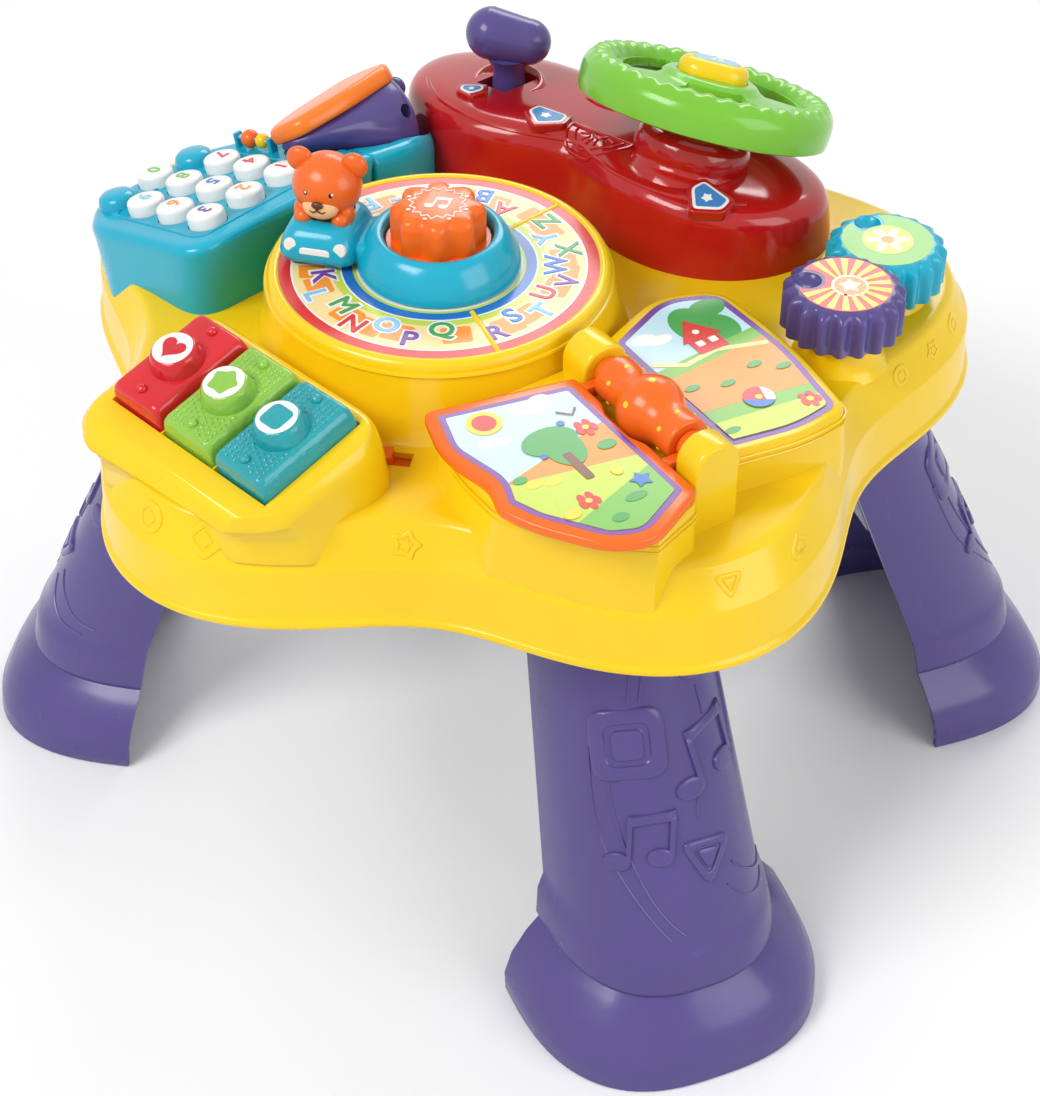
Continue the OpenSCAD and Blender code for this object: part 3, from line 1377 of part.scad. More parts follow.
cell_r = 7.2;
cell_l = 49.6;
cell_z = cover_z + door_t + 1.2 + cell_r;
module battery_cells() {
    color("dimgray") place() for (i = [-1:1])
        translate([bay_at[0] + 15.6 * i, bay_at[1], cell_z]) rotate([i == 0 ? 90 : -90, 0, 0]) {
            cylinder(r = cell_r, h = cell_l - 2, center = true);
            translate([0, 0, cell_l / 2 - 1.02]) cylinder(r = 2.7, h = 1.3);
        }
}
contact_t = 0.6;
module battery_contacts() {
    color("silver") place() for (s = [-1, 1], i = [-1:1]) {
        translate([bay_at[0] + 15.6 * i - 6, bay_at[1] + s * (bay[1] / 2 - 0.4) - contact_t / 2, cell_z - 6])
            cube([12, contact_t, 12]);
        translate([bay_at[0] + 15.6 * i, bay_at[1] + s * (bay[1] / 2 - 2.3), cell_z]) rotate([90, 0, 0])
            cylinder(r = 3, h = 3.2, center = true);
    }
}

module main_board() {
    color("seagreen") at_dial() translate([0, 0, board_z]) {
        difference() {
            translate([-board_half[0], -board_half[1], 0])
                cube([2 * board_half[0], 2 * board_half[1], board_t]);
            for (x = [-1, 1], y = [-1, 1])
                translate([x * board_post[0], y * board_post[1], -1]) cylinder(r = 1.3, h = 4);
        }
        translate([-26, -10, board_t - 0.05]) cube([12, 12, 1.4]);
        for (x = [20, 30]) translate([x, 14, board_t - 0.05]) cylinder(r = 3.2, h = 8);
        translate([18, -22, board_t - 0.05]) cube([12, 5, 6]);
        translate([-18, 18, board_t - 0.05]) cube([14, 5, 6]);
        translate([0, 0, board_t - 0.05]) cylinder(r = 3.4, h = tact_h + 0.05);
    }
}

inner_head = 2.4;
inner_head_h = 1.4;
module inner_screws() {
    color("silver") {
        at_dial() for (x = [-1, 1], y = [-1, 1])
            translate([x * board_post[0], y * board_post[1], board_z]) screw(1, 9, inner_head, inner_head_h);
        at_keys() for (s = [-1, 1])
            translate([key_post_x, s * key_post_y, key_board_z - board_t]) screw(1, 8, inner_head, inner_head_h);
        at_phone() for (p = mat_posts)
            translate([p[0], p[1], -mat_drop - mat_t]) screw(1, 7, inner_head, inner_head_h);
        at_case() for (p = concat(phone_screws, [cradle_screw]))
            translate([p[0], p[1], top_z - wall]) screw(case_shank, wall + phone_screw_l - 2, case_head, 2);
        at_dash() for (p = dash_screws)
            translate([p[0], p[1], top_z - wall]) screw(case_shank, wall + dash_screw_l - 2, case_head, 2);
        for (i = [0, 1]) at_gear(i) translate([0, 0, gear_h - axle_drop]) rotate([180, 0, 0])
            screw(case_shank, gear_screw_l, 6.6, 2);
    }
}

module speaker() {
    color("dimgray") place() translate([speaker_at[0], speaker_at[1], inner_z]) rotate_extrude() polygon([
        [0, 1.6], [9, 1.6], [22, 0.4], [22, 0], [speaker_r, 0], [speaker_r, 2], [20, 3.4],
        [12.5, 7], [12.5, 14], [0, 14]
    ]);
}

module power_switch() {
    k = switch_knob;
    color("darkorange") place() translate([switch_xy[0], switch_xy[1], top_z]) rotate([0, 0, switch_turn]) {
        translate([-k[0] / 2, -k[1] / 2, -wall - 1.6]) cube([k[0], k[1], wall + 1.6 + k[2]]);
        translate([-k[0] / 2 - switch_travel - 2, -k[1] / 2 - 1.6, -wall - 1.6 - 0.3])
            cube([k[0] + 2 * switch_travel + 4, k[1] + 3.2, 1.6]);
    }
}

table_top();
bottom_cover();
leg_front();
leg_right();
leg_back();
leg_left();
leg_screws();
case_screws();
battery_door();
battery_cells();
battery_contacts();
main_board();
inner_screws();
speaker();
power_switch();
letter_plate();
dial_hub();
hub_retainer();
bear_car();
bear_figure();
music_button();
music_spring();
phone_base();
phone_cradle();
phone_button_1();
phone_button_2();
phone_button_3();
phone_button_4();
phone_button_5();
phone_button_6();
phone_button_7();
phone_button_8();
phone_button_9();
phone_button_0();
phone_dome_mat();
handset_body();
handset_face();
handset_pin();
bead_rail();
bead_orange();
bead_yellow();
key_red();
key_green();
key_teal();
key_rod();
key_board();
flip_page();
spine_roller();
spine_pin();
gear_purple();
gear_teal();
dash_housing();
steering_shaft();
steering_wheel();
horn_button();
horn_spring();
shift_lever();
shift_pin();
dash_badges();
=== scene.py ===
"""Looks of the musical activity table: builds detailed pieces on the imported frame, in metres."""
import math
import random

import bpy
from mathutils import Matrix, Vector


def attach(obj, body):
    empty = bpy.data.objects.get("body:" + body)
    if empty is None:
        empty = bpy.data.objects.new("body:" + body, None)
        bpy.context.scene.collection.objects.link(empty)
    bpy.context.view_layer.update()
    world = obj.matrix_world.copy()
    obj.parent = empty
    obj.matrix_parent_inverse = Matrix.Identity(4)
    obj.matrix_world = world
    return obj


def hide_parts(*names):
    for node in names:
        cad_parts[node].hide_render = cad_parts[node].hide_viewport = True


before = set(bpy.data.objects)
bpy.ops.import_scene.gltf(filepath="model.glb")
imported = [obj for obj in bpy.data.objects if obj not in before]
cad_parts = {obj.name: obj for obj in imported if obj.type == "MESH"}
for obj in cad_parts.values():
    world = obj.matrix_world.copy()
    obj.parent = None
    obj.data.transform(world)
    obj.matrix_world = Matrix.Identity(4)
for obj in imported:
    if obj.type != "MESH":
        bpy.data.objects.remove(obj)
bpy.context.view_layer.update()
random.seed(7)

MM = 0.001
TAU = 2 * math.pi


# ---------- small maths ----------

def rad(a):
    return math.radians(a)


def polar(r, a):
    return Vector((r * math.cos(rad(a)), r * math.sin(rad(a))))


def move(x, y, z=0.0):
    return Matrix.Translation((x, y, z))


def turn(a, axis):
    return Matrix.Rotation(rad(a), 4, axis)


def mix(a, b, t):
    return a + (b - a) * t


def smooth(t):
    t = min(max(t, 0.0), 1.0)
    return t * t * (3 - 2 * t)


def bend(p, c, q, n):
    return [(1 - t) ** 2 * p + 2 * t * (1 - t) * c + t * t * q for t in (i / n for i in range(n + 1))]


def rounded(corners, n=10):
    """Outline through corners (x, y, rounding)."""
    out = []
    m = len(corners)
    for i, (x, y, r) in enumerate(corners):
        c = Vector((x, y))
        p = Vector(corners[i - 1][:2]) - c
        q = Vector(corners[(i + 1) % m][:2]) - c
        k = min(r, 0.48 * p.length, 0.48 * q.length)
        out += bend(c + p.normalized() * k, c, c + q.normalized() * k, n)
    return out


def round_rect(x0, x1, y0, y1, r, n=8):
    return rounded([(x0, y0, r), (x1, y0, r), (x1, y1, r), (x0, y1, r)], n)


def lift(points, z):
    return [Vector((p[0], p[1], z)) for p in points]


def curve_through(points, steps):
    """Smooth curve through points of any size, ends included."""
    out = []
    m = len(points)
    for i in range(m - 1):
        a = Vector(points[max(i - 1, 0)])
        b = Vector(points[i])
        c = Vector(points[i + 1])
        d = Vector(points[min(i + 2, m - 1)])
        for k in range(steps):
            t = k / steps
            out.append(0.5 * ((2 * b) + (c - a) * t + (2 * a - 5 * b + 4 * c - d) * t * t
                              + (3 * b - a - 3 * c + d) * t ** 3))
    out.append(Vector(points[-1]))
    return out


def lookup(x, table):
    if x <= table[0][0]:
        return table[0][1]
    for (a, va), (b, vb) in zip(table, table[1:]):
        if x <= b:
            return va + (vb - va) * (x - a) / (b - a)
    return table[-1][1]


def shrink(outline, d):
    """Outline drawn in by d along its corner normals; it runs counter-clockwise."""
    out = []
    m = len(outline)
    for i, p in enumerate(outline):
        e = Vector(outline[(i + 1) % m]) - Vector(outline[i - 1])
        nrm = Vector((-e.y, e.x))
        if nrm.length:
            nrm.normalize()
        out.append(Vector(p) + nrm * d)
    return out


# ---------- materials ----------

def node(tree, kind, at=(0, 0), **values):
    n = tree.nodes.new(kind)
    n.location = at
    for k, v in values.items():
        setattr(n, k, v)
    return n


def ramp(tree, stops, fac, interpolation="LINEAR"):
    r = node(tree, "ShaderNodeValToRGB")
    r.color_ramp.interpolation = interpolation
    el = r.color_ramp.elements
    while len(el) > 1:
        el.remove(el[0])
    for i, (pos, col) in enumerate(stops):
        e = el[0] if i == 0 else el.new(pos)
        e.position = pos
        e.color = (*col, 1)
    tree.links.new(fac, r.inputs["Fac"])
    return r.outputs["Color"]


def noise(tree, coords, scale, detail=2.0, roughness=0.5):
    n = node(tree, "ShaderNodeTexNoise")
    n.inputs["Scale"].default_value = scale
    n.inputs["Detail"].default_value = detail
    n.inputs["Roughness"].default_value = roughness
    tree.links.new(coords, n.inputs["Vector"])
    return n.outputs["Fac"]


def math_node(tree, op, a, b=None):
    n = node(tree, "ShaderNodeMath", operation=op)
    for i, v in enumerate((a, b)):
        if v is None:
            continue
        if isinstance(v, (int, float)):
            n.inputs[i].default_value = v
        else:
            tree.links.new(v, n.inputs[i])
    return n.outputs[0]


def shade(c, f):
    return tuple(min(max(x * f, 0), 1) for x in c)


def start(name):
    m = bpy.data.materials.new(name)
    m.use_nodes = True
    t = m.node_tree
    return m, t, t.nodes["Principled BSDF"], node(t, "ShaderNodeTexCoord").outputs["Object"]


def finish_plastic(t, bsdf, coords, color, rough, spread, grain, depth):
    """Colour, wear-like roughness and a fine moulded grain, all from noise."""
    t.links.new(color, bsdf.inputs["Base Color"])
    bsdf.inputs["Specular IOR Level"].default_value = 0.3
    worn = noise(t, coords, 60, 4, 0.6)
    t.links.new(ramp(t, [(0.3, (rough - spread,) * 3), (0.7, (rough + spread,) * 3)], worn),
                bsdf.inputs["Roughness"])
    b = node(t, "ShaderNodeBump")
    b.inputs["Strength"].default_value = depth
    b.inputs["Distance"].default_value = 0.0004
    t.links.new(noise(t, coords, grain, 3, 0.55), b.inputs["Height"])
    t.links.new(b.outputs["Normal"], bsdf.inputs["Normal"])


def plastic(name, color, rough=0.25, spread=0.04, coat=0.12, grain=900, depth=0.06, vary=0.04, glow=0.0):
    m, t, bsdf, coords = start(name)
    body = ramp(t, [(0.3, shade(color, 1 - vary)), (0.7, shade(color, 1 + vary))], noise(t, coords, 14, 3))
    finish_plastic(t, bsdf, coords, body, rough, spread, grain, depth)
    bsdf.inputs["Coat Weight"].default_value = coat
    bsdf.inputs["Coat Roughness"].default_value = 0.12
    if glow:
        bsdf.inputs["Subsurface Weight"].default_value = glow
        bsdf.inputs["Subsurface Scale"].default_value = 0.004
        bsdf.inputs["Subsurface Radius"].default_value = (1.0, 0.6, 0.4)
    return m


def clear_plastic(name, color, studs=0.0, rough=0.12):
    """Tinted see-through plastic, with a studded skin where studs is over 0."""
    m, t, bsdf, coords = start(name)
    body = ramp(t, [(0.3, shade(color, 0.9)), (0.7, shade(color, 1.06))], noise(t, coords, 30, 3))
    finish_plastic(t, bsdf, coords, body, rough, 0.03, 700, 0.05)
    if studs:
        cells = node(t, "ShaderNodeTexVoronoi")
        cells.inputs["Scale"].default_value = 420
        t.links.new(coords, cells.inputs["Vector"])
        b = node(t, "ShaderNodeBump")
        b.inputs["Strength"].default_value = studs
        b.inputs["Distance"].default_value = 0.0006
        t.links.new(math_node(t, "SUBTRACT", 1.0, cells.outputs["Distance"]), b.inputs["Height"])
        t.links.new(b.outputs["Normal"], bsdf.inputs["Normal"])
    bsdf.inputs["Transmission Weight"].default_value = 0.25
    bsdf.inputs["IOR"].default_value = 1.48
    bsdf.inputs["Coat Weight"].default_value = 0.2
    bsdf.inputs["Subsurface Weight"].default_value = 0.15
    bsdf.inputs["Subsurface Scale"].default_value = 0.006
    return m


def metal(name, color, rough=0.3):
    m, t, bsdf, coords = start(name)
    body = ramp(t, [(0.35, shade(color, 0.85)), (0.65, shade(color, 1.1))], noise(t, coords, 160, 4))
    finish_plastic(t, bsdf, coords, body, rough, 0.08, 2200, 0.12)
    bsdf.inputs["Metallic"].default_value = 1.0
    return m


YELLOW = (0.86, 0.57, 0.006)
PURPLE = (0.085, 0.062, 0.225)
TEAL = (0.006, 0.37, 0.53)
ORANGE = (0.84, 0.14, 0.010)
RED = (0.44, 0.008, 0.008)
GREEN = (0.18, 0.50, 0.035)
WHITE = (0.80, 0.80, 0.78)

M = {
    "yellow": plastic("yellow_plastic", YELLOW, 0.22, 0.03, 0.18),
    "purple": plastic("purple_plastic", PURPLE, 0.24, 0.04, 0.15, vary=0.06),
    "teal": plastic("teal_plastic", TEAL, 0.2, 0.03, 0.18),
    "teal_light": plastic("teal_panel", (0.03, 0.42, 0.56), 0.26, 0.03, 0.1),
    "orange": plastic("orange_plastic", ORANGE, 0.24, 0.03, 0.15),
    "orange_pale": plastic("orange_face", (0.90, 0.20, 0.018), 0.26, 0.03, 0.12),
    "red": plastic("red_plastic", RED, 0.13, 0.025, 0.35, grain=500, depth=0.03),
    "green": plastic("green_plastic", GREEN, 0.2, 0.03, 0.18),
    "white": plastic("white_plastic", WHITE, 0.28, 0.04, 0.2, vary=0.015),
    "off_white": plastic("grey_white_plastic", (0.66, 0.65, 0.60), 0.42, 0.06, 0.0, 1200, 0.12, 0.02),
    "fur": plastic("bear_plastic", (0.78, 0.135, 0.014), 0.3, 0.05, 0.2, 700, 0.15, 0.05, glow=0.06),
    "fur_pale": plastic("bear_muzzle", (0.86, 0.50, 0.24), 0.36, 0.05, 0.1, 700, 0.15, 0.05, glow=0.06),
    "brown": plastic("brown_paint", (0.10, 0.028, 0.012), 0.3, 0.05, 0.2),
    "black": plastic("black_plastic", (0.012, 0.012, 0.014), 0.3, 0.06, 0.2),
    "rubber": plastic("grey_rubber", (0.09, 0.09, 0.10), 0.6, 0.08, 0.0, 1500, 0.2),
    "board": plastic("green_board", (0.015, 0.12, 0.045), 0.4, 0.06, 0.1, 1500, 0.1),
    "cell": plastic("cell_wrap", (0.014, 0.014, 0.016), 0.3, 0.05, 0.2),
    "blue": plastic("blue_paint", (0.03, 0.19, 0.48), 0.3, 0.04, 0.2),
    "sky": plastic("pale_blue_plastic", (0.28, 0.60, 0.74), 0.3, 0.04, 0.2),
    "steel": metal("steel", (0.56, 0.56, 0.57)),
    "clear_red": clear_plastic("clear_red", (0.80, 0.02, 0.03)),
    "clear_green": clear_plastic("clear_green", (0.34, 0.66, 0.08), 0.4),
    "clear_teal": clear_plastic("clear_teal", (0.02, 0.42, 0.47), 0.4),
}


# ---------- meshes ----------

def loft(rings, closed=True, caps=(True, True)):
    """Vertices and faces through rings of equally many points, lowest ring first."""
    verts = [Vector(p) for ring in rings for p in ring]
    n = len(rings[0])
    faces = []
    for k in range(len(rings) - 1):
        for i in range(n if closed else n - 1):
            j = (i + 1) % n
            a, b = k * n, (k + 1) * n
            faces.append((a + i, a + j, b + j, b + i))
    if caps[0]:
        faces.append(tuple(reversed(range(n))))
    if caps[1]:
        faces.append(tuple(range((len(rings) - 1) * n, len(rings) * n)))
    return verts, faces


def revolve(profile, n=96):
    """Solid of revolution about Z; the profile (r, z) runs from the axis at the bottom to the axis at the top."""
    verts, faces, rows = [], [], []
    for r, z in profile:
        if r < 1e-6:
            rows.append([len(verts)])
            verts.append(Vector((0, 0, z)))
        else:
            rows.append(list(range(len(verts), len(verts) + n)))
            verts += [Vector((*polar(r, 360 * i / n), z)) for i in range(n)]
    for a, b in zip(rows, rows[1:]):
        for i in range(n):
            j = (i + 1) % n
            if len(a) == 1 and len(b) == 1:
                continue
            if len(a) == 1:
                faces.append((a[0], b[j], b[i]))
            elif len(b) == 1:
                faces.append((a[i], a[j], b[0]))
            else:
                faces.append((a[i], a[j], b[j], b[i]))
    return verts, faces


def ring_solid(profile, n=96):
    """Solid of revolution of a closed profile that stays off the axis."""
    m = len(profile)
    verts = [Vector((*polar(r, 360 * i / n), z)) for r, z in profile for i in range(n)]
    faces = []
    for k in range(m):
        a, b = k * n, ((k + 1) % m) * n
        for i in range(n):
            j = (i + 1) % n
            faces.append((a + i, a + j, b + j, b + i))
    return verts, faces


def prism(outline, z0, z1, edge=0.0, steps=3):
    """Extruded outline whose top edge is rounded by edge."""
    rings = [lift(outline, z0)]
    if edge:
        for k in range(steps + 1):
            a = 90 * k / steps
            rings.append(lift(shrink(outline, edge * (1 - math.cos(rad(a)))), z1 - edge + edge * math.sin(rad(a))))
    else:
        rings.append(lift(outline, z1))
    return loft(rings)


def ball(r, n=32, squash=(1, 1, 1)):
    v, f = revolve([(r * math.cos(rad(a)), r * math.sin(rad(a))) for a in
                    [-90 + 180 * i / (n // 2) for i in range(n // 2 + 1)]], n)
    return [Vector((p.x * squash[0], p.y * squash[1], p.z * squash[2])) for p in v], f


def shifted(mesh, matrix):
    return [matrix @ v for v in mesh[0]], mesh[1]


def joined(*meshes):
    verts, faces = [], []
    for v, f in meshes:
        k = len(verts)
        verts += v
        faces += [tuple(i + k for i in face) for face in f]
    return verts, faces


def bead(path, r, closed=True, sides=8):
    """Round bar of radius r along a path."""
    pts = [Vector(p) for p in path]
    n = len(pts)
    verts = []
    side = None
    for i, p in enumerate(pts):
        q = pts[(i + 1) % n] if closed or i < n - 1 else p
        o = pts[i - 1] if closed or i else p
        d = (q - o)
        if d.length < 1e-9:
            d = Vector((1, 0, 0))
        d.normalize()
        if side is None:
            side = d.orthogonal()
        side = (side - d * side.dot(d)).normalized()
        up = d.cross(side)
        for k in range(sides):
            a = TAU * k / sides
            verts.append(p + (side * math.cos(a) + up * math.sin(a)) * r)
    faces = []
    for i in range(n if closed else n - 1):
        a, b = i * sides, ((i + 1) % n) * sides
        for k in range(sides):
            j = (k + 1) % sides
            faces.append((a + k, a + j, b + j, b + k))
    if not closed:
        faces += [tuple(reversed(range(sides))), tuple(range((n - 1) * sides, n * sides))]
    return verts, faces


def piece(name, mesh, matrix, mat, body="root", replaces=(), sharp=38, hidden=False):
    """A Blender object from a mesh in millimetres, placed by matrix, which rides on body."""
    data = bpy.data.meshes.new(name)
    data.from_pydata([tuple(v * MM) for v in mesh[0]], [], mesh[1])
    data.validate()
    o = bpy.data.objects.new(name, data)
    bpy.context.scene.collection.objects.link(o)
    placed = matrix.copy()
    placed.translation = placed.translation * MM
    o.matrix_world = placed
    bpy.context.view_layer.update()
    if hidden:
        return o
    return dress(o, mat, body, replaces, sharp)


def dress(o, mat, body, replaces=(), sharp=38):
    o.data.materials.clear()
    o.data.materials.append(M[mat])
    o.data.polygons.foreach_set("use_smooth", [True] * len(o.data.polygons))
    o.data.set_sharp_from_angle(angle=rad(sharp))
    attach(o, body)
    if replaces:
        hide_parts(*replaces)
    return o


def bake(o):
    """Makes the modifiers of o part of its mesh."""
    bpy.context.view_layer.update()
    deps = bpy.context.evaluated_depsgraph_get()
    data = bpy.data.meshes.new_from_object(o.evaluated_get(deps))
    o.modifiers.clear()
    o.data = data
    return o


def cut(o, cutters, operation="DIFFERENCE"):
    for c in cutters:
        m = o.modifiers.new("cut", "BOOLEAN")
        m.object = c
        m.operation = operation
        m.solver = "EXACT"
        bake(o)
        bpy.data.objects.remove(c)
    return o


def soften(o, width, segments=3, angle=30):
    m = o.modifiers.new("soften", "BEVEL")
    m.width = width * MM
    m.segments = segments
    m.limit_method = "ANGLE"
    m.angle_limit = rad(angle)
    m.use_clamp_overlap = True
    return bake(o)


def cutter(name, mesh, matrix):
    return piece(name, mesh, matrix, None, hidden=True)


def letter(text, size, thick, slope, res=3):
    """Mesh of one or more characters, centred, in millimetres, widened by a sloping border."""
    c = bpy.data.curves.new("sign", "FONT")
    c.body = text
    c.size = size
    c.extrude = thick / 2
    c.bevel_depth = slope
    c.bevel_resolution = 0
    c.resolution_u = res
    c.align_x = "CENTER"
    c.align_y = "CENTER"
    o = bpy.data.objects.new("sign", c)
    bpy.context.scene.collection.objects.link(o)
    bpy.context.view_layer.update()
    deps = bpy.context.evaluated_depsgraph_get()
    data = bpy.data.meshes.new_from_object(o.evaluated_get(deps))
    xs = [v.co.x for v in data.vertices]
    ys = [v.co.y for v in data.vertices]
    off = Vector(((max(xs) + min(xs)) / 2, (max(ys) + min(ys)) / 2, 0))
    flatter = thick / (thick + 2 * slope)
    out = ([Vector((v.co.x - off.x, v.co.y - off.y, v.co.z * flatter)) for v in data.vertices],
           [tuple(p.vertices) for p in data.polygons])
    bpy.data.objects.remove(o)
    return out


def on_surface(f, at, points, height=0.0):
    """Points (x, y) in millimetres laid on the surface f(u, v), as seen along its normal at the place at."""
    e = 0.01

    def slopes(u, v):
        return (f(u + e, v) - f(u - e, v)) / (2 * e), (f(u, v + e) - f(u, v - e)) / (2 * e)

    origin = f(*at)
    fu, fv = slopes(*at)
    ax = fu.normalized()
    ay = fu.cross(fv).normalized().cross(ax)
    out = []
    for x, y in points:
        u, v = at[0] + x / fu.length, at[1] + y / fv.length
        for _ in range(4):
            r = f(u, v) - origin
            gx, gy = x - r.dot(ax), y - r.dot(ay)
            su, sv = slopes(u, v)
            m = su.dot(ax), sv.dot(ax), su.dot(ay), sv.dot(ay)
            det = m[0] * m[3] - m[1] * m[2]
            if abs(det) < 1e-6:
                break
            u += (gx * m[3] - gy * m[1]) / det
            v += (gy * m[0] - gx * m[2]) / det
        su, sv = slopes(u, v)
        out.append(f(u, v) + su.cross(sv).normalized() * height)
    return out


def circle(r, n=32, x=0.0, y=0.0):
    return [Vector((x, y)) + polar(r, 360 * i / n) for i in range(n)]


def star_shape(r, n=5, inner=0.5, rounding=0.8):
    pts = []
    for i in range(2 * n):
        p = polar(r if i % 2 == 0 else r * inner, 90 + 180 * i / n)
        pts.append((p.x, p.y, rounding))
    return rounded(pts, 3)


def heart(r, n=40):
    out = []
    for i in range(n):
        t = TAU * i / n
        out.append(Vector((-r * math.sin(t) ** 3,
                           r * (13 * math.cos(t) - 5 * math.cos(2 * t) - 2 * math.cos(3 * t) - math.cos(4 * t)) / 16)))
    return out


# ---------- frames, as in the CAD source ----------

TOP = 219.0
PLACE = move(-5.0657, -18.5651)
DIAL = PLACE @ move(*polar(34.7, -136.2))
CASE = PLACE @ move(-109.9, 30.8) @ turn(49.5, "Z")
PHONE = PLACE @ move(-109.9, 30.8, 242) @ turn(49.5, "Z") @ turn(-14, "X")
HANDSET = CASE @ move(77.6, -9.5, 242) @ turn(-34, "X") @ turn(-3, "Y")
KEYS = PLACE @ move(-93, -97, 245) @ turn(45, "Z") @ turn(-13.8, "Y")
BOOK = PLACE @ move(49.5, -105) @ turn(-57.6, "Z")
DASH = PLACE @ move(41, 82) @ turn(-37.6, "Z")
WHEEL = PLACE @ move(75, 58, 276) @ turn(52, "Z") @ turn(23, "Y")
CAR = DIAL @ turn(166, "Z") @ move(41, 0, 249.7) @ turn(90, "Z")

# ---------- shared shapes ----------

ALONG_X = turn(90, "Z") @ turn(90, "X")
ALONG_Y = turn(90, "X")


def ink(name, color, rough=0.3):
    """A printed or painted colour, made as a plastic material."""
    M[name] = plastic(name, color, rough, 0.04, 0.3, 1400, 0.03, 0.03)


def pill(outline, z0, z1, edge, steps=3):
    """Extruded outline with both end edges rounded."""
    turns = [90 * k / steps for k in range(steps + 1)]
    low = [(edge * (1 - math.sin(rad(a))), z0 + edge * (1 - math.cos(rad(a)))) for a in turns]
    high = [(edge * (1 - math.cos(rad(a))), z1 - edge * (1 - math.sin(rad(a)))) for a in turns]
    return loft([lift(shrink(outline, d), z) for d, z in low + high])


def box_mesh(x0, x1, y0, y1, z0, z1):
    return prism([Vector((x0, y0)), Vector((x1, y0)), Vector((x1, y1)), Vector((x0, y1))], z0, z1)


STACK = 0.005


def flat(shapes, z, t=0.12):
    """Thin plates of the given outlines; each is a touch higher than the last, so that they may overlap."""
    return joined(*[prism([Vector(p[:2]) for p in s], z, z + t + STACK * k) for k, s in enumerate(shapes)])


def moved(outline, x=0.0, y=0.0, a=0.0, k=1.0):
    c, s = math.cos(rad(a)) * k, math.sin(rad(a)) * k
    return [Vector((x + p[0] * c - p[1] * s, y + p[0] * s + p[1] * c)) for p in outline]


def band(path, width):
    """Outline of a stripe along an open path."""
    pts = [Vector(p) for p in path]
    left, right = [], []
    for i, p in enumerate(pts):
        d = (pts[min(i + 1, len(pts) - 1)] - pts[max(i - 1, 0)]).normalized()
        side = Vector((-d.y, d.x)) * width / 2
        left.append(p + side)
        right.append(p - side)
    return right + left[::-1]


def oval(rx, ry, x=0.0, y=0.0, n=28):
    return [Vector((x + rx * math.cos(TAU * i / n), y + ry * math.sin(TAU * i / n))) for i in range(n)]


def note_outlines(k=1.0):
    """A pair of beamed notes, as heads, stems and a beam."""
    return [moved(o, k=k) for o in (
        oval(1.7, 1.25, -2.6, -2.6), oval(1.7, 1.25, 2.6, -1.8),
        [(-1.6, -2.6), (-0.9, -2.6), (-0.9, 3.0), (-1.6, 3.0)],
        [(3.6, -1.8), (4.3, -1.8), (4.3, 3.8), (3.6, 3.8)],
        [(-1.6, 2.0), (4.3, 2.9), (4.3, 4.5), (-1.6, 3.6)])]


for ink_name, ink_color in (
    ("ink_red", (0.62, 0.02, 0.02)), ("ink_orange", (0.86, 0.27, 0.02)), ("ink_lime", (0.50, 0.62, 0.05)),
    ("ink_cream", (0.86, 0.66, 0.30)), ("ink_white", (0.82, 0.82, 0.80)), ("ink_blue", (0.02, 0.15, 0.50)),
    ("ink_sky", (0.20, 0.50, 0.74)), ("ink_green", (0.05, 0.32, 0.06)), ("ink_purple", (0.17, 0.05, 0.30)),
    ("ink_yellow", (0.90, 0.62, 0.02)), ("ink_leaf", (0.17, 0.45, 0.05)), ("ink_brown", (0.17, 0.05, 0.02)),
    ("ink_pink", (0.80, 0.30, 0.33)), ("ink_pale", (0.50, 0.70, 0.80)),
):
    ink(ink_name, ink_color)


MEDAL = [(1.0, -0.5), (1.0, 0.25), (0.97, 0.7), (0.9, 0.95), (0.8, 1.0), (0.66, 1.0), (0.6, 0.85), (0.57, 0.35),
         (0.54, 0.25), (0.46, 0.25), (0.43, 0.35), (0.4, 0.85), (0.34, 1.0), (0.02, 1.0)]
PLAIN = [(1.0, -0.5), (1.0, 0.3), (0.95, 0.75), (0.84, 0.97), (0.6, 1.0), (0.02, 1.0)]


def medal(surface, at, outline, height, rings=MEDAL):
    """Raised plate on a surface, whose outline is drawn in ring by ring."""
    middle = sum(outline, Vector((0, 0))) / len(outline)
    return loft([on_surface(surface, at, [middle.lerp(p, k) for p in outline], height * h) for k, h in rings])


# ---------- table top ----------

def star_r(a):
    return 160.6 + 16.1 * math.cos(rad(5 * (a + 64.2))) - 0.5 * math.cos(rad(10 * (a + 64.2)))


def star(inset, n=360):
    return [polar(star_r(360 * i / n) - inset, 360 * i / n) for i in range(n)]


def pull(p, inset):
    """Point drawn in until it lies inside the star's edge."""
    reach = star_r(math.degrees(math.atan2(p.y, p.x))) - inset
    return p * (reach / p.length) if p.length > reach else p


SHELL_INSIDE = [(4.6, 180), (5, 203), (14, 215.6), (17, 216.6)]
SHELL_OUTSIDE = [(1, 180), (0.2, 180.4), (0, 181), (0, 182.2), (0.5, 183), (1.4, 183.5), (1.6, 184.2), (2.6, 203),
                 (2.9, 204.1), (3.9, 204.9), (9.6, 216.8), (10.4, 217.8), (11.8, 218.5), (14.6, 219)]
shell = piece("table_shell", loft([lift(star(d), z) for d, z in SHELL_INSIDE[::-1] + SHELL_OUTSIDE]),
              PLACE, "yellow", replaces=["table_top"], sharp=50)
SWITCH = PLACE @ move(-42, -98, TOP) @ turn(-10, "Z")
cut(shell, [cutter("switch_slot", box_mesh(-3.1, 9.1, -3.6, 3.6, -10, 10), SWITCH)])

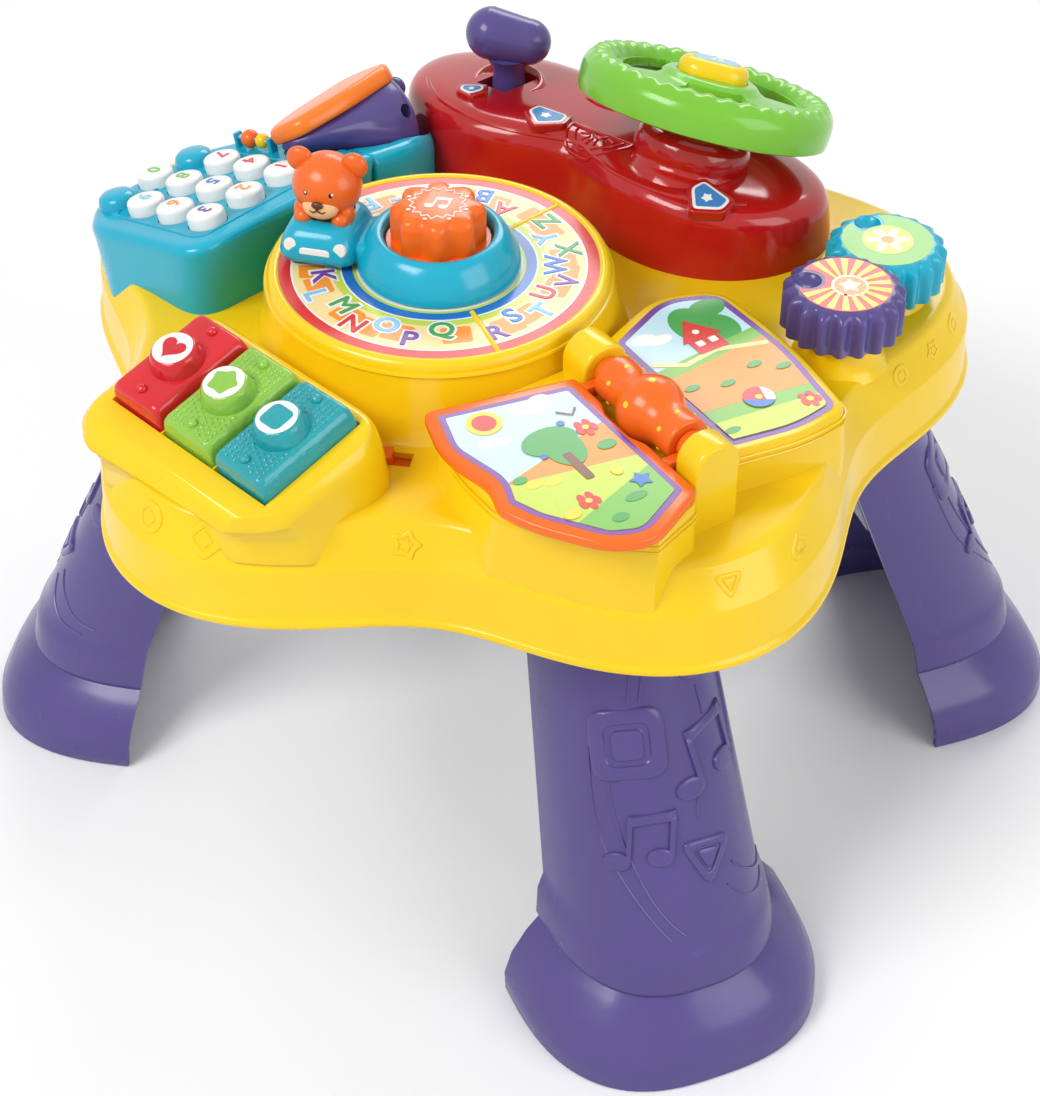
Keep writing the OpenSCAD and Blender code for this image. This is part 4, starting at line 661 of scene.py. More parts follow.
# Embossed figures on the rim band: place in the star's frame, kind, size, turn
EMBOSSED = [
    (-100, -131, "square", 5.6, 45), (-34, -134, "star", 6, 200), (-120, -120, "ring", 5.6, 0), (44, -157, "ring", 5.2, 0),
    (71, -154, "triangle", 5.6, 180), (95, -134, "heart", 5.2, 180), (140, -41, "ring", 4.2, 0),
    (152, -25, "star", 4.4, 30), (160, -9, "square", 3.6, 20), (160, 44, "heart", 5.2, 200), (128, 92, "ring", 5.2, 0),
    (-18, 142, "triangle", 5.4, 0), (44, 152, "star", 5.6, 0), (-92, 110, "square", 5, 0), (-150, 36, "star", 5.4, 90),
    (78, 134, "heart", 5.2, 0),
]
FIGURES = {
    "square": lambda r: round_rect(-r, r, -r, r, r * 0.5, 5), "ring": lambda r: circle(r),
    "triangle": lambda r: rounded([(-r, -0.7 * r, r * 0.5), (r, -0.7 * r, r * 0.5), (0, r, r * 0.5)], 5),
    "star": lambda r: star_shape(r, 5, 0.6, r * 0.2), "heart": lambda r: heart(r),
}
BAND = [(d, z) for d, z in SHELL_OUTSIDE if z > 202]


def band_point(a, d):
    """Point on the table's rim band or flat top, d inside the star's edge."""
    return Vector((*polar(star_r(a) - d, a), lookup(d, BAND)))


def band_figure(x, y, kind, r, a):
    at = math.degrees(math.atan2(y, x))
    return medal(band_point, (at, 6.9), moved(FIGURES[kind](r), a=a), 0.55)


piece("table_figures", joined(*[band_figure(*f) for f in EMBOSSED]), PLACE, "yellow", replaces=["table_top"])

# Drum of the dial, with two ribs across its track
DRUM = [(0, 218), (70, 218), (68, 219.3), (66.4, 221), (65.4, 224), (61.4, 244), (61.3, 245.2), (60.9, 246.8),
        (60, 248), (58.9, 248.5), (57.6, 248.5), (56.9, 248), (56.8, 247.2), (56.8, 246.7), (0, 246.7)]
piece("drum", revolve(DRUM, 160), DIAL, "yellow", replaces=["table_top"])
piece("drum_lip", ring_solid([(61.9, 243.0), (62.4, 243.6), (62.1, 244.4), (60.6, 244.6), (60.6, 243.0)], 160), DIAL, "yellow",
      replaces=["table_top"])
for rib_name, rib_angle in (("a", -68), ("b", 42)):
    piece("track_rib_" + rib_name, pill(round_rect(31.5, 57.6, -0.95, 0.95, 0.8, 4), 245.7, 248.4, 0.6),
          DIAL @ turn(rib_angle, "Z"), "yellow", replaces=["table_top"])

# Raised block that holds the keys
KEY_LEVELS = [(40, 33, 53, 20, -0.9, 0), (38, 33, 52, 19, 0, 0), (37, 32, 51, 18, 0.3, 0),
              (35.6, 30.8, 50, 17, 0.68, 3), (34.2, 29.7, 48.8, 16, 1, 5.4), (31.6, 27.9, 46.8, 13, 1, 1.9),
              (29.6, 26.4, 45.4, 10, 1, 0.6), (27.5, 25, 44.4, 8, 1, 0)]


def key_point(p):
    return Vector((-93, -97)) + moved([p], a=45)[0]


def key_face(p, drop):
    return 245 - 8 / math.cos(rad(13.8)) - drop + p[0] * math.tan(rad(13.8))


def key_ring(level):
    a, b, c, r, share, drop = level
    ring = []
    for p in round_rect(-a, b, -c, c, r, 10):
        q = pull(key_point(p), 3.2 - 4.8 * max(share, 0))
        ring.append(Vector((q.x, q.y, 217.5 + (key_face(p, drop) - 217.5) * max(share, 0) + min(share, 0) * 12)))
    return ring


block = piece("key_block", loft([key_ring(v) for v in curve_through(KEY_LEVELS, 3)]), PLACE, "yellow",
              replaces=["table_top"], sharp=50)
KEY_PITCH = 26.8
cut(block, [cutter("key_slot", box_mesh(-21.9, 21.4, i * KEY_PITCH - 13.1, i * KEY_PITCH + 13.1, -19.5, 8), KEYS)
            for i in (-1, 0, 1)])
soften(block, 0.7, 2, 55)
dress(block, "yellow", "root", ["table_top"], 50)

# Book base and the brackets of its spine
BOOK_EDGE = rounded([
    (-44, -60, 8), (-20, -67, 12), (14, -66, 12), (44, -50, 10), (49, -38, 10), (38, -11, 4), (23, -10, 3),
    (22, 10, 3), (27, 40, 12), (24, 61, 6), (-12, 67, 14), (-56, 66, 9), (-65, 44, 12), (-52, 14, 8), (-46, 0, 6)], 8)
BOOK_AXIS = 243.0
BOOK_LEVELS = [(1.6, 204), (1.4, 217), (1.2, 219), (0.9, 223), (0.1, 233), (-0.2, 234.6), (-0.7, 235.9), (-1.6, 236.6)]


def book_ring(g, z):
    return [Vector((*pull(Vector((49.5, -105)) + moved([p], a=-57.6, k=1 + g / 52)[0], 4 - min(g, 0)), z))
            for p in BOOK_EDGE]


base = piece("book_base", loft([book_ring(*v) for v in BOOK_LEVELS]), PLACE, "yellow", replaces=["table_top"], sharp=50)
cut(base, [cutter("roller_trough", revolve([(0, -25.6), (12.4, -25.6), (12.4, 18), (0, 18)], 64),
                  BOOK @ move(0, -1, BOOK_AXIS) @ ALONG_X)])
dress(base, "yellow", "root", ["table_top"], 50)
ARCH = [Vector((-10, 216)), Vector((8, 216))] + [Vector((-1, BOOK_AXIS)) + polar(9, a) for a in range(0, 181, 9)]
for side, (x0, x1) in (("near", (22.6, 34)), ("far", (-44, -30))):
    piece("spine_bracket_" + side, pill(ARCH, x0, x1, 1.4), BOOK @ ALONG_X, "yellow", replaces=["table_top"])

GEARS = [PLACE @ move(117, -38, 231), PLACE @ move(137, 0, 224.5)]
for i, (where, height) in enumerate(zip(GEARS, (12, 5.5))):
    piece("gear_pad_%d" % i, revolve([(0, -height - 2), (18, -height - 2), (16.4, -height + 0.6), (15, -height + 3),
                                      (15, -1.2), (14.2, -0.4), (0, -0.4)]), where, "yellow", replaces=["table_top"])

# ---------- legs ----------

LEG_LEVELS = [
    (0, 0, 58.6, 68, 2.7), (9, 0.9, 58.6, 67.6, 2.7), (18, 2.2, 55.1, 64, 2.6), (26, 3.8, 48.6, 59, 2.5),
    (31, 4.7, 43.07, 55, 2.5), (33, 5.2, 43.95, 56.2, 2.5), (44, 7.4, 42.5, 55.8, 2.4), (49.8, 8.5, 39.85, 53.3, 2.4),
    (116.9, 33.93, 34.9, 46.15, 2.3), (184, 59.36, 30, 37, 2.2)]
LEG_WALL = 3


def leg_level(z):
    for a, b in zip(LEG_LEVELS, LEG_LEVELS[1:]):
        if z <= b[0]:
            t = (z - a[0]) / (b[0] - a[0])
            return [mix(p, q, t) for p, q in zip(a, b)]
    return LEG_LEVELS[-1]


def leg_point(a, z, inset=0.0):
    """Point on a leg's outside in direction a (-90 to 90) at height z."""
    _, off, half, length, e = leg_level(z)
    c, s = max(math.cos(rad(a)), 0), math.sin(rad(a))
    return Vector((c ** (2 / e) * (length - inset) - off, math.copysign(abs(s) ** (2 / e), s) * (half - inset), z))


def leg_mesh():
    heights = [0, 0.8, 5, 9, 13.5, 18, 22, 26, 28.5, 30.2, 31, 31.6, 32.6, 33.4, 36, 40, 44, 47, 49.8, 53]
    heights += [60 + 12.4 * k for k in range(11)]
    spread = [-90 + 180 * i / 56 for i in range(57)]
    rings = []
    for z in heights:
        lip = 0.7 if z == 0 else 0.0
        outer = [leg_point(a, z, lip) for a in spread]
        inner = [leg_point(a, z, LEG_WALL) for a in reversed(spread)]
        rings.append(outer + inner)
    return loft(rings)


LEAN = math.degrees(math.atan(0.379))
LEGS = [("leg_front", 137, -67.6, -67.9), ("leg_right", 165.6, 12.2, 17.9), ("leg_back", 165.6, 91, 84.8),
        ("leg_left", 155, 170.3, 171.5)]


def leg_web():
    top = (184 - 103) / math.cos(rad(LEAN)) - 1.5
    outline = rounded([(-31, 0, 7), (31, 0, 7), (27, top, 0.1), (-27, top, 0.1)], 6)
    return pill(outline, 0, LEG_WALL, 0.7, 2)


LEG_MEDALS = [("square", -22, 122, 13.5, 8), ("triangle", 11, 80, 11.5, -70), ("ring", 22, 145, 8.5, 0)]
LEG_NOTES = [(18, 112, 3.4), (-22, 88, 2.9)]
LEG_STAVES = [
    [(-14, 150), (-16, 143), (-19, 136)], [(-7, 150), (-9, 143), (-12, 136)],
    [(-46, 118), (-47, 104), (-46, 92), (-42, 83), (-34, 74), (-23, 63), (-12, 53)],
    [(-36, 110), (-35, 99), (-32, 90), (-27, 80), (-20, 69), (-13, 61), (-5, 54)],
    [(22, 135), (23, 129), (23, 125)], [(10, 100), (8, 96), (8, 92)],
    [(24, 72), (35, 65), (52, 58), (66, 56)], [(18, 66), (29, 58), (44, 53), (60, 52)],
]


def leg_figures():
    """Raised plates, notes and staff lines on a leg's outside."""
    parts = [medal(leg_point, (a, z), moved(FIGURES[kind](r), a=spin), 1.3) for kind, a, z, r, spin in LEG_MEDALS]
    for a, z, k in LEG_NOTES:
        parts += [medal(leg_point, (a, z), [Vector(p[:2]) for p in shape], 1.2, PLAIN) for shape in note_outlines(k)]
    for path in LEG_STAVES:
        points = curve_through(path, 6)
        parts.append(bead([leg_point(*p) for p in points], 0.5, False, 6))
    return joined(*parts)


LEG_FIGURES = leg_figures()
LEG_SOLID = leg_mesh()
LEG_WEB = leg_web()
for leg_name, reach, angle, toe in LEGS:
    spot = PLACE @ move(*polar(reach, angle)) @ turn(toe, "Z")
    piece(leg_name + "_shell", LEG_SOLID, spot, "purple", replaces=[leg_name], sharp=42)
    web = spot @ move(-8.5, 0, 49.8) @ turn(-LEAN, "Y") @ move(0, 0, (103 - 49.8) / math.cos(rad(LEAN))) @ ALONG_X
    piece(leg_name + "_web", LEG_WEB, web, "purple", replaces=[leg_name])
    cap = [leg_point(a, 184, 1).to_2d() for a in range(-90, 91, 6)]
    piece(leg_name + "_cap", prism(cap, 181, 184), spot, "purple", replaces=[leg_name])
    piece(leg_name + "_figures", LEG_FIGURES, spot, "purple", replaces=[leg_name])

# ---------- dial ----------

PLATE = 247.9
RINGS = [("ink_red", 57.0, 52.6), ("ink_white", 52.6, 51.9), ("ink_cream", 51.9, 38.2), ("ink_lime", 38.2, 35.2),
         ("ink_white", 35.2, 34.6), ("ink_blue", 34.6, 30.8), ("ink_lime", 30.8, 29.6), ("ink_white", 29.6, 24)]
for i, (ring_ink, r1, r0) in enumerate(RINGS):
    piece("dial_ring_%d" % i, ring_solid([(r0, 246.8), (r1, 246.8), (r1, PLATE), (r0, PLATE)], 128), DIAL, ring_ink,
          replaces=["letter_plate"])

LETTER_INKS = {"ink_red": "AGNU", "ink_green": "DJMQXZ", "ink_purple": "CKPRV", "ink_blue": "BHSW",
               "ink_sky": "EFILOTY"}
RIB_LETTER = 17


def letter_angle(k):
    """Direction of letter k; a rib stands between the 17th and the 18th, and one between the last and the first."""
    return 57.5 + 13.45 * k if k < RIB_LETTER else 296.5 + 12.35 * (k - RIB_LETTER)


def letter_place(k):
    """Place of letter k on the track: every second one lies further out."""
    return turn(letter_angle(k), "Z") @ move(46.6 if k % 2 else 41.2, 0, 0) @ turn(90, "Z")


def letters(which, thick, slope, z):
    parts = []
    for ch in which:
        k = ord(ch) - ord("A")
        parts.append(shifted(letter(ch, 11.4, thick, slope), letter_place(k) @ move(0, 0, z + thick / 2)))
    return joined(*parts)


ALPHABET = "".join(chr(ord("A") + k) for k in range(26))
patches = []
for k in range(26):
    if k % 4 == 3:
        continue
    corners = round_rect(-4.6, 4.6, -5.2, 5.2, 1.2, 3)
    patches.append(shifted(prism(corners, 0, 0.04), turn(letter_angle(k) + 6.5, "Z")
                           @ move(45 if k % 2 else 44, 0, PLATE + 0.02 * (k % 2))))
piece("dial_patches", joined(*patches), DIAL, "ink_orange", replaces=["letter_plate"])
piece("letter_borders", letters(ALPHABET, 0.16, 1.1, PLATE + 0.02), DIAL, "ink_white", replaces=["letter_plate"],
      sharp=0)
for letter_ink, which in LETTER_INKS.items():
    piece("letters_" + letter_ink[4:], letters(which, 0.3, 0.3, PLATE + 0.06), DIAL, letter_ink,
          replaces=["letter_plate"], sharp=0)

HUB = [(0, 248.3), (28.4, 248.3), (29, 248.8), (29.1, 249.5), (28.6, 252.6), (27.4, 255.6), (25.6, 258.6), (24.2, 260.6),
       (23, 261.7), (21.8, 262.2), (20.6, 262.1), (19.8, 261.6), (19.4, 260.7), (19.4, 251.3), (0, 251.3)]
piece("hub_ring", revolve(HUB, 128), DIAL, "teal", "hub", ["dial_hub"])
ARM = DIAL @ turn(166, "Z")
arm_rings = []
for x, half, low, high in ((22, 12.5, 249.2, 258.5), (25.5, 11.6, 249.2, 257.6), (29, 10.4, 249.4, 256.6),
                           (33, 9.6, 249.6, 256), (40, 9.2, 249.7, 255.8), (49, 9, 249.7, 255.7)):
    arm_rings.append([Vector((x, p.x, p.y)) for p in round_rect(-half, half, low, high, 2.4, 5)])
piece("hub_arm", loft(arm_rings), ARM, "teal", "hub", ["dial_hub"])

BUTTON_LEVELS = [(0, 257.2), (0, 268.6), (0.3, 270.4), (1.0, 271.7), (2.2, 272.5), (4.2, 272.9)]


def lobed(inset, n=192):
    return [polar(15.6 + 1.25 * math.cos(rad(8 * 360 * i / n)) - inset, 360 * i / n) for i in range(n)]


piece("music_button_flange", revolve([(0, 254.9), (18.6, 254.9), (19, 255.3), (19, 258.2), (18.4, 258.9), (0, 258.9)]),
      DIAL, "orange", "music_button", ["music_button"])
piece("music_button_cap", loft([lift(lobed(d), z) for d, z in BUTTON_LEVELS]), DIAL, "orange", "music_button",
      ["music_button"], sharp=50)
burst = [polar(8.3 + (2.1 if i % 2 else 0) - (0.5 if i % 4 == 1 else 0), 360 * i / 32) for i in range(32)]
piece("burst_line", joined(bead(lift(burst, 272.95), 0.28, True, 6),
                           flat([oval(0.7, 0.5, *polar(10.9, 22.5 + 45 * k)) for k in range(8)], 272.85, 0.2),
                           flat([moved(o, a=-20, k=0.95) for o in note_outlines()], 272.85, 0.2)),
      DIAL, "ink_white", "music_button", ["music_button"])

# Toy car, which rides on the hub's arm
CAR_LEVELS = [(1.2, 5, 0.2), (0.2, 6, 0.8), (-0.7, 7, 2.4), (-0.8, 7, 4), (-0.3, 7, 6.6), (0.3, 7, 8.4), (1.2, 7, 10.3),
              (2.4, 6.6, 11.8), (3.6, 5.6, 12.8), (5, 5, 13.2)]
car = piece("car_body", loft([lift(round_rect(b - 15, 15 - b, b - 13.5, 13.5 - b, r, 10), z) for b, r, z in CAR_LEVELS]),
            CAR, "teal", "hub", ["bear_car"], sharp=50)
cut(car, [cutter("car_seat", revolve([(0, 6.4), (9.4, 6.4), (9.4, 20), (0, 20)], 48), CAR @ move(-3, 0, 0))])
soften(car, 0.8, 3, 50)
dress(car, "teal", "hub", ["bear_car"], 50)
piece("car_lamps", joined(*[shifted(revolve([(0, -3), (2.1, -3), (2.5, -0.2), (2.2, 0.35), (0, 0.6)], 32),
                                    move(14.6, y, 7.4) @ turn(82, "Y")) for y in (-9, 9)]),
      CAR, "white", "hub", ["bear_car"])
piece("car_grille", shifted(pill(round_rect(-1.9, 1.9, -5.6, 5.6, 1.8, 5), -3, 0.5, 0.3),
                            move(15.1, 0, 5.4) @ turn(88, "Y")), CAR, "white", "hub", ["bear_car"])

# Teddy bear
BEAR = CAR @ move(-3, 0, 7)
bear_parts = [revolve([(0, 0), (7.2, 0), (7.3, 5), (8.2, 7.6), (8.3, 9.4), (7.6, 11.6), (5, 14), (0, 15)], 48),
              shifted(ball(12, 48, (0.97, 1.04, 0.97)), move(0, 0, 16))]
for s in (-1, 1):
    bear_parts.append(shifted(ball(4.9, 32, (0.52, 1, 1)), move(-1, s * 9.9, 24.2)))
    bear_parts.append(shifted(ball(3.5, 28, (1, 1, 0.9)), move(7.6, s * 6.8, 6.8)))
    bear_parts.append(shifted(ball(3.4, 28, (1.1, 1, 1.3)), move(4.6, s * 7.8, 7.6)))
bear = piece("bear_body", joined(*bear_parts), BEAR, "fur", "hub", ["bear_figure"], sharp=80)
piece("bear_muzzle", shifted(ball(5.9, 40, (0.66, 1.12, 0.78)), move(8.7, 0, 11.9)), BEAR, "fur_pale", "hub",
      ["bear_figure"])
piece("bear_nose", shifted(ball(1.9, 24, (0.6, 1.15, 0.75)), move(12.2, 0, 14.4)), BEAR, "brown", "hub", ["bear_figure"])
piece("bear_mouth", joined(*[bead(curve_through([(12.9, 0, 12.9), (12.6, s * 1.6, 11.7), (11.7, s * 3.3, 12.4)], 6),
                                  0.3, False, 6) for s in (-1, 1)],
                           bead([(12.95, 0, 14), (13.0, 0, 12.9)], 0.3, False, 6)),
      BEAR, "brown", "hub", ["bear_figure"])
for part, r, out, mat in (("eyes", 1.35, 11.05, "black"), ("eye_glints", 0.42, 12.1, "white")):
    shift = 0.45 if part == "eye_glints" else 0
    piece("bear_" + part, joined(*[shifted(ball(r, 20, (0.6, 1, 1.15)),
                                           move(0, 0, 16) @ turn(s * 24 , "Z") @ turn(-10, "Y")
                                           @ move(out, shift, shift)) for s in (-1, 1)]),
          BEAR, mat, "hub", ["bear_figure"])

# ---------- phone ----------

TILT = math.tan(rad(14))


def phone_corners(g):
    return rounded([(-40 - g, -31 - g, 13), (14, -36 - g, 20), (50 + g, -34 - g, 3), (50 + g, 24 + g, 3),
                    (28, 41 + g, 9), (-22, 44 + g, 9), (-38 - g, 28 + g, 9)], 10)


PHONE_CUTS = [max(1, round((p - q).length / 4)) for p, q in zip(phone_corners(0), phone_corners(0)[1:] + phone_corners(0)[:1])]


def phone_edge(g):
    """Outline of the phone's case, with its long sides in short steps."""
    raw = phone_corners(g)
    return [p.lerp(raw[(i + 1) % len(raw)], k / n) for i, (p, n) in enumerate(zip(raw, PHONE_CUTS)) for k in range(n)]


def phone_face(p, drop):
    return 242 - drop - p[1] * TILT


def phone_ring(g, drop=None, z=None):
    return [Vector((p.x, p.y, z if z is not None else phone_face(p, drop))) for p in phone_edge(g)]


def case_foot(g):
    """Foot of the phone's case: it follows the table's rim band where it reaches past the flat top."""
    ring = []
    to_star = PLACE.inverted() @ CASE
    for p in phone_edge(g):
        q = to_star @ Vector((p.x, p.y, 0))
        q = pull(Vector((q.x, q.y)), 4.2)
        inset = star_r(math.degrees(math.atan2(q.y, q.x))) - q.length
        back = to_star.inverted() @ Vector((q.x, q.y, 0))
        ring.append(Vector((back.x, back.y, lookup(inset, BAND) - 1)))
    return ring


PB_X, PB_Y, PB_R = 19.6, 17.1, 7.1
phone = piece("phone_case", loft([
    case_foot(-0.6), phone_ring(-0.6, z=219), phone_ring(-0.4, z=222.4),
    phone_ring(0.1, 7.2), phone_ring(0.45, 4.6), phone_ring(0.5, 3), phone_ring(0.2, 1.9), phone_ring(-0.4, 1.0),
    phone_ring(-1.3, 0.35), phone_ring(-2.6, 0.05), phone_ring(-4, 0)]), CASE, "teal", replaces=["phone_base"], sharp=50)
BUTTONS = [(0, 34.2)] + [((1 - (k - 1) % 3) * PB_X, ((k - 1) // 3 - 1) * PB_Y) for k in range(1, 10)]
holes = [shifted(revolve([(0, -9), (8.5, -9), (8.5, -2.2), (PB_R + 0.35, -2.1), (PB_R + 0.35, 6), (0, 6)], 48),
                 move(x, y)) for x, y in BUTTONS]
for i, hole in enumerate(holes):
    cut(phone, [cutter("hole", hole, PHONE)])
BOWL = [(0, -44.5), (6, -44.5), (10.6, -39.5), (14.6, -32.5), (18.4, -24.5), (23.4, -19), (26.4, -13.5), (26.4, -8),
        (24.4, -2), (0, -2)]
cut(phone, [cutter("bowl", revolve(BOWL, 96), HANDSET @ move(0, 0, 12) @ turn(90, "Y"))])
dress(phone, "teal", "root", ["phone_base"], 45)
bumps = [shifted(revolve([(0, -2), (8.1, -2), (7.7, 0.2), (7.4, 2.2), (6.9, 3.8), (5.6, 4.9), (3.4, 5.3), (0, 5.4)], 48),
                 move(s * PB_X, 34.2, -0.4)) for s in (-1, 1)]
posts = [shifted(pill(round_rect(-1.8, 1.8, -0.9, 0.9, 0.5, 3), -1, 5.9, 0.4, 2), move(37.3, 17 + s * 9.6, 0))
         for s in (-1, 1)]
piece("phone_bumps", joined(*(bumps + posts)), PHONE, "teal", replaces=["phone_base"])
PANEL = rounded([(-31, -25, 6), (30, -27, 6), (32, 5, 8), (31, 29, 8), (-28, 29, 8)], 8)
piece("phone_panel_line", bead(lift(PANEL, 0.05), 0.5, True, 8), PHONE, "teal", replaces=["phone_base"])

NUMBER_INKS = ["ink_leaf", "ink_red", "ink_orange", "ink_purple", "ink_red", "ink_blue", "ink_orange", "ink_red", "ink_leaf",
               "ink_sky"]
CAP = [(0, -3.9), (8.0, -3.9), (8.1, -2.6), (7.1, -2.5), (7.1, 3.6), (6.95, 4.2), (6.5, 4.7), (5.8, 5.0), (4.2, 5.2),
       (0, 5.3)]
for k, (x, y) in enumerate(BUTTONS):
    body = "phone_button_%d" % k
    spot = PHONE @ move(x, y)
    piece(body + "_cap", revolve(CAP, 56), spot, "white", body, [body])
    digit = shifted(letter(str(k), 8.4, 0.3, 0.12), move(0, 0, 5.32) @ turn(180, "Z"))
    piece(body + "_sign", digit, spot, NUMBER_INKS[k], body, [body], sharp=0)


def cradle_edge(g):
    return rounded([(50.6, -35 - g, 2), (72, -37 - g, 10), (92 + g, -29 - g, 10), (101 + g, -6, 12),
                    (93 + g, 18 + g, 10), (76, 28 + g, 8), (50.6, 24 + g, 2)], 10)


def cradle_ring(g, drop):
    return [Vector((p.x, p.y, phone_face(p, drop + 1.2 + (p.x - 50) * 0.15))) for p in cradle_edge(g)]


cradle = piece("cradle_dome", loft([lift(cradle_edge(0), 217), cradle_ring(0, 9.5), cradle_ring(-0.3, 6.6),
                                    cradle_ring(-0.9, 4.3), cradle_ring(-1.9, 2.3), cradle_ring(-3.2, 1),
                                    cradle_ring(-5, 0.3), cradle_ring(-7, 0)]),
               CASE, "teal", replaces=["phone_cradle"], sharp=55)
cut(cradle, [cutter("belly_room", ball(21, 96), HANDSET), cutter("bowl", revolve(BOWL, 96),
                                                                 HANDSET @ move(0, 0, 12) @ turn(90, "Y"))])
dress(cradle, "teal", "root", ["phone_cradle"], 45)
piece("cradle_lug", joined(box_mesh(-5, 5, -3.5, 3.5, -22.5, 0),
                           shifted(revolve([(0, -3.5), (5, -3.5), (5, 3.5), (0, 3.5)], 40), turn(90, "X"))),
      HANDSET, "teal", replaces=["phone_cradle"])

# Handset: a deep belly that tips on the cradle, with a face layer and a ball on a stalk
BELLY = [(-43, 4, 9), (-39, 9, 6), (-32, 13, 2), (-24, 16, -4), (-18, 18, -10), (-10, 19, -17.2), (-3, 19.6, -20),
         (3, 18.6, -19.4), (6.5, 15.6, -15.5), (9, 11, -9)]


def belly_ring(x, wide, low):
    half = (12 - low) * 0.62
    mid = low + half
    c = math.degrees(math.asin(min((12 - mid) / half, 0.99)))
    out = []
    for i in range(41):
        a = rad(180 - c + (180 + 2 * c) * i / 40)
        out.append(Vector((x, wide * math.cos(a), mid + half * math.sin(a))))
    return out


belly = piece("handset_belly", loft([belly_ring(*r) for r in curve_through(BELLY, 4)]), HANDSET, "purple", "handset",
              ["handset_body"], sharp=60)
cut(belly, [cutter("lug_slot", box_mesh(-24.5, 17.5, -3.9, 3.9, -40, 6), HANDSET)]
    + [cutter("pin_hole", shifted(revolve([(0, -10), (2.8, -10), (2.8, 10), (0, 10)], 32),
                                  move(0, s * 23, 0) @ turn(90, "X")), HANDSET) for s in (-1, 1)])
dress(belly, "purple", "handset", ["handset_body"], 45)
piece("handset_stalk", joined(shifted(revolve([(0, -3), (4.6, -3), (3.7, -0.5), (3.1, 2), (2.6, 5), (2.6, 7), (0, 7)], 40),
                                      move(6, -2, 8) @ turn(84, "Y")),
                              shifted(ball(4.3, 36), move(14, -2, 7.4))),
      HANDSET, "purple", "handset", ["handset_body"])


def face_edge(g):
    return rounded([(-43 - g, -9 - g, 7), (-22, -17 - g, 16), (5, -16 - g, 10), (10 + g, -7, 6), (10 + g, 7, 6),
                    (5, 16 + g, 10), (-22, 17 + g, 16), (-43 - g, 9 + g, 7)], 10)


piece("handset_plate", loft([lift(face_edge(g), 12.02 + z) for g, z in (
    (-0.6, 0), (0.1, 0.3), (0.55, 1), (0.7, 2.4), (0.7, 4), (0.4, 5.4), (-0.3, 6.3), (-1.4, 6.9), (-2.6, 7))]),
    HANDSET, "orange_pale", "handset", ["handset_face"], sharp=50)
for bead_name, y, r, tint in (("bead_orange", 2.6, 3.6, "orange"), ("bead_yellow", -4.5, 2.9, "yellow")):
    piece(bead_name + "_ball", ball(r, 40), PHONE @ move(37.3, 17 + y, 4), tint, bead_name, [bead_name])

# ---------- piano keys ----------

KEY_LEVEL = [(21, 12.8, 2, -12.8), (21, 12.8, 2, -7), (20.9, 12.5, 2.2, -4.2), (20.6, 12, 2.5, -2.2),
             (20.1, 11.2, 2.8, -0.9), (19.5, 10.4, 3, -0.2), (18.8, 9.7, 3, 0)]
STUD_PITCH = 2.05


def studs(half_x, half_y, mask):
    out = []
    rows = int(2 * half_y / STUD_PITCH)
    cols = int(2 * half_x / STUD_PITCH)
    stud_mesh = revolve([(0, -0.3), (0.8, -0.3), (0.7, 0.15), (0.35, 0.42), (0, 0.48)], 8)
    for i in range(cols + 1):
        for j in range(rows + 1):
            x = -half_x + i * STUD_PITCH + (STUD_PITCH / 2 if j % 2 else 0)
            y = -half_y + j * STUD_PITCH
            if x > half_x or math.hypot(x, y) < mask or min(math.hypot(x - s * 16, y) for s in (-1, 1)) < 2.6:
                continue
            out.append(shifted(stud_mesh, move(x, y, 0)))
    return joined(*out)


KEY_MARKS = {"red": heart(4.9), "green": star_shape(6.2, 5, 0.66, 2.2), "teal": round_rect(-4.6, 4.6, -4.6, 4.6, 2.6, 6)}
for i, tint in enumerate(("red", "green", "teal")):
    body = "key_" + tint
    spot = KEYS @ move(0, (1 - i) * KEY_PITCH, 0)
    clear = "clear_" + tint
    piece(body + "_block", loft([lift(round_rect(-x, x, -y, y, r, 6), z) for x, y, r, z in KEY_LEVEL]), spot, clear, body,
          [body], sharp=50)
    piece(body + "_boss", revolve([(0, -1), (9.9, -1), (9.7, 0.4), (9.2, 2), (8.5, 4.2), (8.0, 5.3), (7.2, 6), (6.2, 6.1),
                                   (5.8, 5.8), (0, 5.8)], 72), spot, clear, body, [body])
    piece(body + "_knobs", joined(*[shifted(ball(1.9, 20, (1, 1, 0.9)), move(s * 16, 0, 0.2)) for s in (-1, 1)]), spot,
          clear, body, [body])
    piece(body + "_ring", revolve([(0, 5.7), (7.2, 5.7), (7.1, 6.15), (6.7, 6.3), (0, 6.3)], 64), spot, "ink_white", body,
          [body])
    piece(body + "_mark", prism(moved(KEY_MARKS[tint], a=-90), 6.2, 6.5, 0.15), spot, clear, body, [body])
    if tint != "red":
        piece(body + "_studs", studs(18.2, 9.4, 10.4), spot, clear, body, [body])

# ---------- book: turning page, pictures, roller ----------

def clip(outline, direction, least):
    """The part of an outline that lies at least so far along a direction."""
    d = Vector(direction).normalized()
    out = []
    for i, p in enumerate(outline):
        q = outline[i - 1]
        fp, fq = p.dot(d) - least, q.dot(d) - least
        if (fp >= 0) != (fq >= 0):
            out.append(q + (p - q) * (fq / (fq - fp)))
        if fp >= 0:
            out.append(p)
    return out


